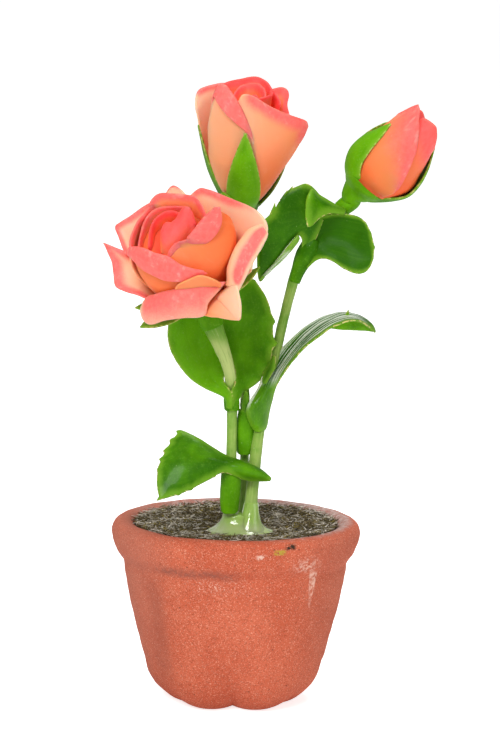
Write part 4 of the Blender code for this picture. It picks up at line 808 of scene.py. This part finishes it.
class Wire:
    """A node's output that can stand in sums: numbers go through Math, vectors through Vector Math."""

    def __init__(self, nodes, socket):
        self.nodes, self.socket = nodes, socket

    def sum(self, operation, *values):
        vector = any(isinstance(v, Wire) and v.socket.type in ("VECTOR", "RGBA") or isinstance(v, tuple)
                     for v in values)
        kind = "ShaderNodeVectorMath" if vector else "ShaderNodeMath"
        return self.nodes.node(kind, {"operation": operation}, dict(enumerate(values)))

    def __add__(self, other): return self.sum("ADD", self, other)
    def __radd__(self, other): return self.sum("ADD", other, self)
    def __sub__(self, other): return self.sum("SUBTRACT", self, other)
    def __rsub__(self, other): return self.sum("SUBTRACT", other, self)
    def __mul__(self, other): return self.sum("MULTIPLY", self, other)
    def __rmul__(self, other): return self.sum("MULTIPLY", other, self)
    def __truediv__(self, other): return self.sum("DIVIDE", self, other)
    def __pow__(self, other): return self.sum("POWER", self, other)

    def most(self, other): return self.sum("MAXIMUM", self, other)
    def least(self, other): return self.sum("MINIMUM", self, other)
    def size(self): return self.sum("ABSOLUTE", self)

    def step(self, low, high):
        """0 at low, 1 at high, soft between; low may be the larger one."""
        if low > high:
            return 1 - self.step(high, low)
        return self.nodes.node("ShaderNodeMapRange", {"interpolation_type": "SMOOTHSTEP"},
                               {"Value": self, "From Min": low, "From Max": high})


class Nodes:
    """The nodes of a material or of the world."""

    def __init__(self, made, shader):
        made.use_nodes = True
        self.made, self.tree = made, made.node_tree
        self.shader = self.tree.nodes[shader]

    def node(self, kind, settings, inputs, output=None):
        made = self.tree.nodes.new(kind)
        for name, value in settings.items():
            setattr(made, name, value)
        for key, value in inputs.items():
            if isinstance(value, Wire):
                self.tree.links.new(value.socket, made.inputs[key])
            elif made.inputs[key].type == "VECTOR" and isinstance(value, (int, float)):
                made.inputs[key].default_value = (value,) * 3
            else:
                made.inputs[key].default_value = value
        if output is not None:
            return Wire(self, made.outputs[output])
        return Wire(self, next(o for o in made.outputs if o.enabled))

    def shade(self, **sockets):
        for name, value in sockets.items():
            socket = self.shader.inputs[name.replace("_", " ")]
            if isinstance(value, Wire):
                self.tree.links.new(value.socket, socket)
            else:
                socket.default_value = value
        return self.made


class Finish(Nodes):
    """One material: its colour is built up in coats of paint."""

    def __init__(self, name):
        super().__init__(bpy.data.materials.new(name), "Principled BSDF")
        self.place = self.node("ShaderNodeTexCoord", {}, {}, "Object") * ((1 / MM,) * 3)
        self.colour = None

    def paint(self, colour, where):
        """Lay a colour over the present one, fully where the mask is 1."""
        self.colour = self.mix(self.colour, colour, where)

    def mark(self, name):
        return self.node("ShaderNodeAttribute", {"attribute_name": name}, {}, "Fac")

    def axis(self, vector, which):
        return self.node("ShaderNodeSeparateXYZ", {}, {0: vector}, which)

    def vector(self, x, y, z):
        return self.node("ShaderNodeCombineXYZ", {}, {0: x, 1: y, 2: z})

    def mix(self, a, b, factor):
        """Colour a where factor is 0, b where it is 1."""
        def colour(c):
            return (*c, 1.0) if isinstance(c, tuple) else c
        return self.node("ShaderNodeMix", {"data_type": "RGBA"}, {0: factor, 6: colour(a), 7: colour(b)}, 2)

    def noise(self, scale, detail, vector=None, rough=0.55):
        """Noise from 0 to 1 with scale lumps to the millimetre."""
        return self.node("ShaderNodeTexNoise", {}, {"Vector": vector or self.place, "Scale": scale,
                                                    "Detail": detail, "Roughness": rough}, 0)

    def dots(self, scale, size, keep):
        """Scattered round dots, 1 on a dot and 0 between them. keep is the share of cells with a dot."""
        inputs = {"Vector": self.place, "Scale": scale}
        away, chance = [self.node("ShaderNodeTexVoronoi", {}, inputs, output)
                        for output in ("Distance", "Color")]
        return away.step(size, size * 0.6) * self.axis(chance, 0).step(keep, keep - 0.02)

    def bump(self, height, depth):
        """A bump of that depth in millimetres."""
        return self.node("ShaderNodeBump", {}, {"Height": height, "Strength": 1.0, "Distance": depth * MM},
                         "Normal")


def terracotta():
    f = Finish("terracotta clay")
    x, y, z = [f.axis(f.place, k) for k in range(3)]
    front = y.step(0.0, -4.0)

    def spot(at_x, at_z, wide, high):
        """1 at that place on the pot's front; wide and high say where it has faded and where it is full."""
        return (x - at_x).size().step(*wide) * (z - at_z).size().step(*high) * front

    cloudy, worn = f.noise(0.16, 3), f.noise(1.5, 4)
    grain, fine = f.noise(6.0, 4, rough=0.75), f.noise(7.5, 4, rough=0.8)
    f.colour = f.mix((0.57, 0.112, 0.054), (0.65, 0.148, 0.076), cloudy.step(0.35, 0.65))
    f.paint((0.47, 0.085, 0.042), worn.step(0.45, 0.7) * 0.3)
    f.paint((0.24, 0.040, 0.022), grain.step(0.52, 0.62) * 0.55)
    f.paint((0.95, 0.50, 0.34), fine.step(0.54, 0.63) * 0.65)
    f.paint((0.95, 0.76, 0.64), f.dots(4.2, 0.15, keep=0.06) * 0.4)
    pits = f.dots(1.3, 0.12, keep=0.12)
    f.paint((0.12, 0.04, 0.03), pits * 0.7)
    # Dust on the rim's inner face and top, greyer to the right and at the back, and soil stuck to it.
    radius = (x * x + y * y) ** 0.5
    upper = z.step(15.0, 16.0)
    inside = radius.step(12.1, 11.0) * upper
    back_right = (x * 0.7 + y).step(-9.0, 9.0)
    f.paint((0.33, 0.10, 0.065), inside * 0.55)
    f.paint((0.46, 0.30, 0.27), inside * back_right * (0.35 + 0.9 * worn.step(0.3, 0.65)))
    frost = inside * x.step(1.0, 7.0) * f.noise(2.2, 5, rough=0.75).step(0.45, 0.6)
    f.paint((0.66, 0.58, 0.54), frost * 0.7)
    stuck = radius.step(11.3, 10.3) * upper * f.noise(2.6, 5, rough=0.7).step(0.47, 0.6)
    f.paint((0.07, 0.055, 0.035), stuck * 0.85)
    # Painted shade: the wall's sides darker and greyer, most on the left, and a soft dark band down one
    # groove.
    f.paint((0.40, 0.16, 0.115), x.size().step(5.0, 10.5) * (0.25 + 0.2 * x.step(0.0, -1.0)))
    band = (x + 8.1 - 0.14 * (14.0 - z)).size().step(1.3, 0.1) * front
    f.paint((0.30, 0.09, 0.06), band * z.step(15.0, 11.0) * z.step(2.0, 5.0) * 0.38)
    # Painted shade in the crease below the rim, with pale flecks under it, and a darker foot.
    crease = (z - 14.95 + 0.6 * (f.noise(0.5, 2) - 0.5)).size().step(0.95, 0.0) * y.step(-4.0, -9.0)
    crease = crease * x.step(1.5, -1.5) * (0.3 + 0.7 * x.step(-8.5, -6.5))
    f.paint((0.26, 0.10, 0.075), crease * (0.25 + 0.5 * f.noise(2.4, 5, rough=0.75).step(0.38, 0.62)))
    flecks = spot(-1.6, 13.7, (4.0, 1.5), (1.1, 0.2))
    f.paint((0.92, 0.66, 0.52), flecks * f.noise(4.6, 4, rough=0.75).step(0.56, 0.64) * 0.75)
    f.paint((0.42, 0.10, 0.06), z.step(1.5, 0.0) * 0.3)
    # Chalk: a thin broken run down the right of the wall, and a scuffed patch over it.
    broken = f.noise(2.2, 5, rough=0.75)
    wander = x - 7.75 + (14.5 - z) * 0.10 + 0.5 * (f.noise(0.7, 3) - 0.5)
    run = wander.size() - 0.10 * (z - 11.5)
    run = run.step(0.15, 0.02) * z.step(10.2, 13.0) * z.step(15.2, 14.6) * front
    f.paint((0.88, 0.58, 0.46), run * broken.step(0.36, 0.6) * 0.8)
    patch = spot(7.0, 15.8, (1.8, 0.3), (1.2, 0.2))
    f.paint((0.85, 0.54, 0.43), patch * broken.step(0.46, 0.62) * 0.75)
    chips = spot(2.6, 17.0, (0.7, 0.1), (0.35, 0.1))
    f.paint((0.88, 0.62, 0.50), chips * f.noise(3.4, 3).step(0.5, 0.6) * 0.8)
    # A spill of yellow moss and dark grit on the front of the rim.
    blots = f.noise(2.6, 4, rough=0.7)
    moss = spot(4.4, 17.4, (0.75, 0.3), (0.34, 0.12))
    grit = spot(5.45, 17.85, (0.65, 0.25), (0.36, 0.12))
    f.paint((0.46, 0.33, 0.05), moss * blots.step(0.40, 0.5))
    f.paint((0.045, 0.03, 0.02), grit * blots.step(0.42, 0.52) + moss * blots.step(0.42, 0.34))
    height = grain * 0.5 + fine * 0.5 - pits * 0.6
    return f.shade(Base_Color=f.colour, Roughness=0.9, Specular_IOR_Level=0.1, Normal=f.bump(height, 0.10))


def soil_mix():
    f = Finish("potting fibre")
    tone, kind = f.mark("tone"), f.mark("kind")
    f.colour = f.mix((0.022, 0.017, 0.010), (0.085, 0.070, 0.035), f.noise(1.6, 4).step(0.3, 0.7))
    for fibre, dark, light in ((BROWN, (0.065, 0.05, 0.022), (0.25, 0.195, 0.10)),
                               (PALE, (0.36, 0.31, 0.23), (0.90, 0.82, 0.70)),
                               (YELLOW, (0.18, 0.14, 0.03), (0.36, 0.28, 0.07))):
        f.paint(f.mix(dark, light, tone), kind.step(fibre - 0.5, fibre - 0.4))
    streak = f.noise(9.0, 3)
    f.paint((0.02, 0.016, 0.01), streak.step(0.55, 0.75) * 0.6)
    return f.shade(Base_Color=f.colour, Roughness=0.85, Specular_IOR_Level=0.25,
                   Normal=f.bump(streak, 0.08))


def set_glue():
    f = Finish("cloudy glue")
    x, z = f.axis(f.place, 0), f.axis(f.place, 2)
    f.colour = f.mix((0.40, 0.50, 0.20), (0.33, 0.52, 0.10), z.step(18.3, 19.4))
    f.paint((0.62, 0.62, 0.50), x.step(-0.8, -2.4) * f.noise(1.2, 3).step(0.35, 0.6) * 0.8)
    f.paint((0.20, 0.17, 0.08), z.step(18.15, 17.8) * f.noise(3.0, 3).step(0.4, 0.6) * 0.6)
    return f.shade(Base_Color=f.colour, Roughness=0.13, Subsurface_Weight=0.35, Subsurface_Scale=0.8 * MM,
                   Subsurface_Radius=(0.8, 1.0, 0.4), Coat_Weight=0.6, Coat_Roughness=0.05,
                   Normal=f.bump(f.noise(0.9, 2), 0.12))


def green_stem():
    f = Finish("green stem clay")
    along, across = f.mark("along"), f.mark("across")
    x, z = f.axis(f.place, 0), f.axis(f.place, 2)
    lines = f.noise(1.0, 4, f.vector(across * 26.0, z * 0.35, 0.0), 0.7)
    cloudy = f.noise(0.45, 3)
    f.colour = f.mix((0.16, 0.36, 0.028), (0.33, 0.48, 0.10), cloudy.step(0.3, 0.7))
    f.paint((0.44, 0.58, 0.20), z.step(22.5, 19.0) * 0.6)
    # The left stem catches the light above its leaf, and each stem darkens towards its bloom.
    pale = z.step(32.5, 34.5) * z.step(38.2, 36.4) * x.step(0.5, -0.3)
    f.paint((0.62, 0.70, 0.26), pale * 0.65)
    f.paint((0.085, 0.26, 0.006), along.step(0.72, 0.88) * 0.85)
    f.paint((0.11, 0.28, 0.015), lines.step(0.5, 0.7) * 0.45)
    f.paint((0.50, 0.62, 0.24), lines.step(0.45, 0.30) * 0.45)
    f.paint((0.70, 0.76, 0.52), f.dots(1.2, 0.09, keep=0.15) * 0.6)
    return f.shade(Base_Color=f.colour, Roughness=0.45, Specular_IOR_Level=0.2, Coat_Weight=0.08,
                   Coat_Roughness=0.3, Normal=f.bump(lines, 0.05))


def leaf_clay():
    f = Finish("green leaf clay")
    edge, along, across, tone = [f.mark(m) for m in ("edge", "along", "across", "tone")]
    inner, rim, streaks, turned = [f.mark(m) for m in ("inner", "rim", "streaks", "turned")]
    cloudy = f.noise(0.55, 3)
    lines = f.noise(1.0, 4, f.vector(across * 13.0, along * 2.0, tone * 9.0), 0.65)
    wrinkles = f.noise(1.0, 3, f.vector(across * 11.0 + along * 9.0, along * 3.0, 2.0), 0.6)
    dark = f.mix((0.018, 0.100, 0.0004), (0.036, 0.160, 0.0006), cloudy)
    light = f.mix((0.100, 0.340, 0.0015), (0.155, 0.440, 0.004), cloudy)
    patchy = tone + 0.6 * (cloudy - 0.5) + 0.8 * (f.noise(0.28, 2) - 0.5)
    f.colour = f.mix(dark, light, patchy.step(0.0, 1.0))
    f.paint((0.13, 0.34, 0.02), lines.step(0.5, 0.75) * 0.14)
    f.paint((0.022, 0.11, 0.001), lines.step(0.45, 0.25) * 0.15)
    speckled = f.noise(5.0, 3, rough=0.75).step(0.54, 0.68)
    f.paint((0.22, 0.46, 0.06), speckled * (0.12 + 0.3 * tone))
    f.paint((0.40, 0.58, 0.20), f.dots(2.2, 0.13, keep=0.10) * 0.4)
    f.paint((0.17, 0.27, 0.045), (inner - turned).size().step(0.4, 0.9) * 0.5)
    # A light margin, with cream flecks where the clay was torn, and brown specks on the very edge.
    soft = edge / rim.most(0.05) + 0.7 * (f.noise(1.5, 3) - 0.5)
    f.paint((0.20, 0.42, 0.025), soft.step(2.0, 0.3) * 0.6)
    torn = edge.step(0.16, 0.03) * f.noise(2.6, 3).step(0.45, 0.6) * along.step(0.15, 0.35)
    f.paint((0.70, 0.62, 0.22), torn * rim.step(0.1, 0.45) * 0.85)
    f.paint((0.28, 0.17, 0.06), edge.step(0.06, 0.0) * f.noise(3.0, 2).step(0.58, 0.68) * 0.8)
    # Painted highlights on the wrinkles: over the upper half of a streaked leaf, and down its left margin.
    shine = wrinkles.step(0.46, 0.53) * (streaks - 0.45) * 1.8 * across.step(0.8, 0.55)
    shine = (shine * along.step(0.36, 0.46)).most(0.0) * along.step(0.88, 0.76) * 0.9
    fold = across + 1.12 - 0.67 * streaks
    ridge_highlight = fold.step(0.0, -0.12) * along.step(0.2, 0.34) * along.step(0.95, 0.8)
    ridge_highlight = ridge_highlight * streaks * wrinkles.step(0.42, 0.52) * (0.6 + 1.2 * streaks)
    f.paint((0.80, 0.88, 0.74), shine.most(ridge_highlight).least(0.9))
    height = lines * 0.35 + f.noise(2.2, 3) * 0.4 + wrinkles * streaks * streaks * 0.8
    return f.shade(Base_Color=f.colour, Roughness=0.40 + 0.14 * cloudy - 0.12 * streaks,
                   Specular_IOR_Level=0.05, Coat_Weight=0.02 + 0.22 * streaks, Coat_Roughness=0.16,
                   Normal=f.bump(height, 0.05))


def petal_clay():
    f = Finish("rose petal clay")
    along, across = f.mark("along"), f.mark("across")
    pink, tone, red = [f.mark(m) for m in ("pink", "tone", "flush")]
    cloudy, mottled = f.noise(0.5, 3), f.noise(2.4, 3)
    strokes = f.noise(1.0, 4, f.vector(across * 7.0, along * 9.0, tone * 7.0 + red * 3.0), 0.6)
    # Each colour deepens towards the petal's foot: partly the clay's own colour, partly painted shade deep
    # in the bloom.
    deep_orange = f.mix((0.88, 0.10, 0.015), (0.96, 0.25, 0.065), along.step(0.35, 0.9))
    orange = f.mix((0.92, 0.15, 0.03), (0.95, 0.29, 0.11), along.step(0.3, 0.9))
    cream = f.mix((0.87, 0.345, 0.14), (0.90, 0.55, 0.37), along.step(0.35, 0.95))
    f.colour = f.mix(deep_orange, orange, tone.step(-0.6, 0.1))
    f.paint(cream, tone.step(0.0, 1.0))
    f.paint((0.95, 0.45, 0.28), strokes.step(0.55, 0.8) * 0.15)
    heart = f.mix((0.95, 0.04, 0.012), (0.96, 0.085, 0.05), along.step(0.5, 1.0))
    f.paint(heart, red * (0.85 + 0.3 * (cloudy - 0.5)))
    # The pink is brushed on, so its border wanders and its strength is mottled.
    brushed = pink + 0.3 * (cloudy - 0.5) + 0.35 * (f.noise(7.0, 3, rough=0.8) - 0.5)
    coral = f.mix((0.97, 0.13, 0.125), (0.96, 0.175, 0.165), mottled.step(0.3, 0.75))
    coral = f.mix(coral, (0.97, 0.055, 0.06), red.step(0.1, 0.7) * 0.8)
    # Pale strokes on the pink are painted highlights.
    coral = f.mix(coral, (0.97, 0.52, 0.47), strokes.step(0.55, 0.74) * 0.36 * red.step(0.5, 0.0))
    coral = f.mix(coral, (0.93, 0.07, 0.09), strokes.step(0.42, 0.26) * 0.4)
    f.paint(coral, brushed.step(0.1, 0.85) * pink.step(0.0, 0.15) * 0.92)
    height = strokes * 0.4 + f.noise(3.0, 4) * 0.6
    return f.shade(Base_Color=f.colour, Roughness=0.5, Specular_IOR_Level=0.18, Coat_Weight=0.05,
                   Coat_Roughness=0.35, Subsurface_Weight=0.45, Subsurface_Scale=1.0 * MM,
                   Subsurface_Radius=(1.0, 0.4, 0.2), Normal=f.bump(height, 0.03))


# Pieces

def make_pot(finish):
    turns = np.linspace(0, math.pi / 2, 14)
    rise = [HEEL_HEIGHT * (1 - math.cos(a)) for a in turns]
    heel = [(FOOT_RADIUS + HEEL_WIDTH * math.sin(a) + HEEL_LEAN * z, z) for a, z in zip(turns, rise)]
    underside = [(r, 0.0) for r in (1.0, 2.5, 4.0)]
    wall = on_curve([heel[-1]] + POT_WALL + POT_RIM + POT_INSIDE, np.linspace(0, 1, 170)[1:])
    outline = np.vstack([underside, heel, wall])
    r, z, angle = ring_grid(outline, POT_SIDES)
    outside = (np.arange(len(outline)) <= np.argmax(outline[:, 1]))[:, None]
    r = np.where(outside, lobed(r, z, angle), r)
    r = r - CREASE_DEPTH * np.exp(-((z - CREASE_HEIGHT) / CREASE_WIDTH) ** 2) * outside
    points = around(r, z, angle)
    worn = lumps(points, POT_LUMPS, 1) * smooth(0.0, 1.2, z)
    points = points + around(1.0, 0 * angle, angle) * worn[..., None]
    points[..., 2] += 0.06 * unevenness(points, 2.5, 4) * smooth(15, 18, z)
    shape = Shape()
    ring_body(shape, points)
    shape.piece("pot_terracotta", finish, ["pot"])


def lay_fibre(shape):
    """One loose fibre or grain of grit on the soil, unless it would reach into the pot's wall."""
    away, turn = SOIL_RADIUS * math.sqrt(GRAIN.random()), TURN * GRAIN.random()
    height = np.interp(away, *zip(*FIBRE_BED)) + GRAIN.uniform(0.0, 0.32)
    centre = np.array([away * math.cos(turn), away * math.sin(turn), height])
    bright = min(max(0.38 + 0.6 * noise.noise(Vector(centre * 0.55)), 0.06), 0.85)
    kind = GRAIN.choice([BROWN, PALE, YELLOW], p=[0.90 - bright, bright, 0.10])
    grit = GRAIN.random() < 0.3
    length = GRAIN.uniform(0.10, 0.24) if grit else GRAIN.uniform(0.4, 1.4)
    width = GRAIN.uniform(0.06, 0.12) if grit else GRAIN.uniform(0.035, 0.075)
    heading, rise = TURN * GRAIN.random(), GRAIN.normal(0, 0.22)
    level = math.cos(rise)
    ahead = np.array([math.cos(heading) * level, math.sin(heading) * level, math.sin(rise)])
    side = unit(np.cross(ahead, (0, 0, 1.0)))
    up = np.cross(side, ahead)
    bow = GRAIN.normal(0, 0.15) * length
    corners = np.array([side * math.cos(a) + up * math.sin(a)
                        for a in (0.4, 0.4 + TURN / 3, 0.4 + TURN * 2 / 3)])
    rings = np.array([centre + ahead * share * length + side * bow * (1 - 4 * share ** 2)
                      + corners * width * girth for share, girth in ((-0.5, 0.4), (0.0, 1.0), (0.5, 0.4))])
    if np.hypot(rings[..., 0], rings[..., 1]).max() < FIBRE_LIMIT:
        ring_body(shape, rings, kind=kind, tone=GRAIN.random())


def make_soil(finish):
    against_pot = [(r + 0.1, z + 0.3) for r, z in reversed(POT_INSIDE[1:])]
    top = on_curve([(SOIL_RADIUS, 16.0)] + SOIL_TOP, np.linspace(0, 1, 60))
    r, z, angle = ring_grid(np.vstack([against_pot, top]), SOIL_SIDES)
    points = around(r, z, angle)
    points[..., 2] += lumps(points, SOIL_LUMPS, 5) * smooth(17.0, 17.6, z)
    shape = Shape()
    ring_body(shape, points)
    for _ in range(FIBRES):
        lay_fibre(shape)
    shape.piece("soil_fibres", finish, ["soil"])


def make_glue_foot(finish):
    line = on_curve(FOOT_RINGS, np.linspace(0, 1, 40))
    angle = np.linspace(0, TURN, GLUE_SIDES, endpoint=False)
    wavy = 1 + 0.03 * np.sin(3 * angle + 1) + 0.02 * np.sin(5 * angle)
    points = np.stack([FOOT_CENTRE[0] + line[:, :1] * wavy * np.cos(angle),
                       FOOT_CENTRE[1] + line[:, 1:2] * wavy * np.sin(angle),
                       np.repeat(line[:, 2:], GLUE_SIDES, 1)], -1)
    points[..., 2] += 0.08 * unevenness(points, 0.8, 8)
    shape = Shape()
    ring_body(shape, points)
    ring_body(shape, tube_rings(GLUE_COLLAR, 30, 48, 0.05, 9))
    shape.piece("glue_foot_set", finish, ["glue_foot"])


def make_stems(finish):
    for seed, (name, path) in enumerate(STEMS.items()):
        shape = Shape()
        ring_body(shape, tube_rings(path, 160, 40, 0.035, 20 + seed))
        shape.piece(name + "_clay", finish, [name])


def make_leaves(finish):
    for seed, (name, leaf) in enumerate(LEAVES.items()):
        shape = Shape()
        lay_leaf(shape, leaf, LEAF_THICKNESS, 30 + seed)
        for sliver in SLIVERS.get(name, []):
            lay_leaf(shape, sliver, SLIVER_THICKNESS, 60 + seed, 18, 30)
        if name in CLASPS:
            lay_clasp(shape, *CLASPS[name], 40 + seed)
        if name in SLEEVES:
            path, tones = SLEEVES[name]
            rings = tube_rings(path, 40, 40, 0.05, 50 + seed)
            ring_body(shape, rings, edge=BARE, tone=from_foot_to_tip(tones, 40), rim=0.3)
        shape.piece(name + "_clay", finish, [name])


def make_bloom(name, bloom, finish):
    """The petals, round a core that closes the gaps between them and is redder near the axis."""
    stand = bloom_frame(bloom)
    shape = Shape()
    heart = around(*ring_grid(on_curve(bloom.core, np.linspace(0, 1, 24)), 40))
    away = np.append(np.linalg.norm(heart[..., :2], axis=-1), (0.0, 0.0))
    ring_body(shape, placed(heart, stand), edge=BARE, flush=0.25 + 0.75 * smooth(3.0, 2.0, away))
    lay_petals(shape, bloom.petals, stand)
    shape.piece(name + "_petals", finish, [name])


def make_calyx(name, bloom, finish):
    """The sepals and the cup, which swells from the end of the stem up to the foot of the petals."""
    stand = bloom_frame(bloom)
    stem = np.array(STEMS[bloom.stem])
    end, ahead = stem[-1, :3], unit(stem[-1, :3] - stem[-2, :3])
    rise = [placed(np.array([0, 0, height]), stand) for height, _ in bloom.cup]
    halfway = np.linalg.norm(rise[0] - end) / 2
    girth = stem[-1, 3] * 1.03
    path = [(*(end - ahead * 0.9), girth * 0.96), (*(end - ahead * 0.3), girth),
            (*(end + ahead * halfway), girth)]
    path += [(*place, radius) for place, (_, radius) in zip(rise, bloom.cup)]
    shape = Shape()
    ring_body(shape, tube_rings(path, 48, 48, 0.03, 3), edge=BARE, tone=bloom.tone)
    lay_sepals(shape, bloom.sepals, stand)
    shape.piece(name + "_sepals", finish, [name])


def make_floor():
    bpy.ops.mesh.primitive_plane_add(size=8)
    floor = bpy.context.object
    floor.name = "floor"
    f = Finish("pale studio floor")
    seen = f.node("ShaderNodeLightPath", {}, {}, "Is Camera Ray")
    glow = f.mix((0.25, 0.25, 0.25), (0.75, 0.75, 0.75), seen)
    floor.data.materials.append(f.shade(Base_Color=(0.8, 0.8, 0.8, 1), Roughness=0.8,
                                        Emission_Color=glow, Emission_Strength=1.0))


def make_softbox(name, place, size, power):
    data = bpy.data.lights.new(name, "AREA")
    data.shape, data.size, data.energy = "DISK", size, power
    made = bpy.data.objects.new(name, data)
    made.location = place
    made.rotation_mode = "QUATERNION"
    made.rotation_quaternion = (Vector(LIT_PLACE) - Vector(place)).to_track_quat("-Z", "Y")
    bpy.context.scene.collection.objects.link(made)


def make_studio():
    make_floor()
    for softbox in SOFTBOXES:
        make_softbox(*softbox)
    world = bpy.data.worlds.new("white room")
    bpy.context.scene.world = world
    room = Nodes(world, "Background")
    seen = room.node("ShaderNodeLightPath", {}, {}, "Is Camera Ray")
    strength = room.node("ShaderNodeMapRange", {}, {"Value": seen, "To Min": ROOM_LIGHT, "To Max": 1.0})
    room.shade(Color=(1, 1, 1, 1), Strength=strength)
    bpy.context.scene.view_settings.view_transform = "Standard"


def make_camera():
    data = bpy.data.cameras.new("camera")
    data.lens, data.sensor_width = CAMERA_LENS, CAMERA_SENSOR
    camera = bpy.data.objects.new("camera", data)
    down, lean = math.radians(CAMERA_DOWN), math.radians(CAMERA_LEAN)
    right, up = Vector((1, 0, 0)), Vector((0, math.sin(down), math.cos(down)))
    back = Vector((0, -math.cos(down), math.sin(down)))
    x_axis = right * math.cos(lean) + up * math.sin(lean)
    y_axis = up * math.cos(lean) - right * math.sin(lean)
    turned = Matrix((x_axis, y_axis, back)).transposed().to_4x4()
    camera.matrix_world = Matrix.Translation(CAMERA_PLACE) @ turned
    bpy.context.scene.collection.objects.link(camera)
    bpy.context.scene.camera = camera


make_camera()
make_studio()
make_pot(terracotta())
make_soil(soil_mix())
make_glue_foot(set_glue())
make_stems(green_stem())
green, rose = leaf_clay(), petal_clay()
make_leaves(green)
for name, bloom in BLOOMS.items():
    make_bloom(name, bloom, rose)
for name, bloom in BLOOMS.items():
    make_calyx(name + "_calyx", bloom, green)
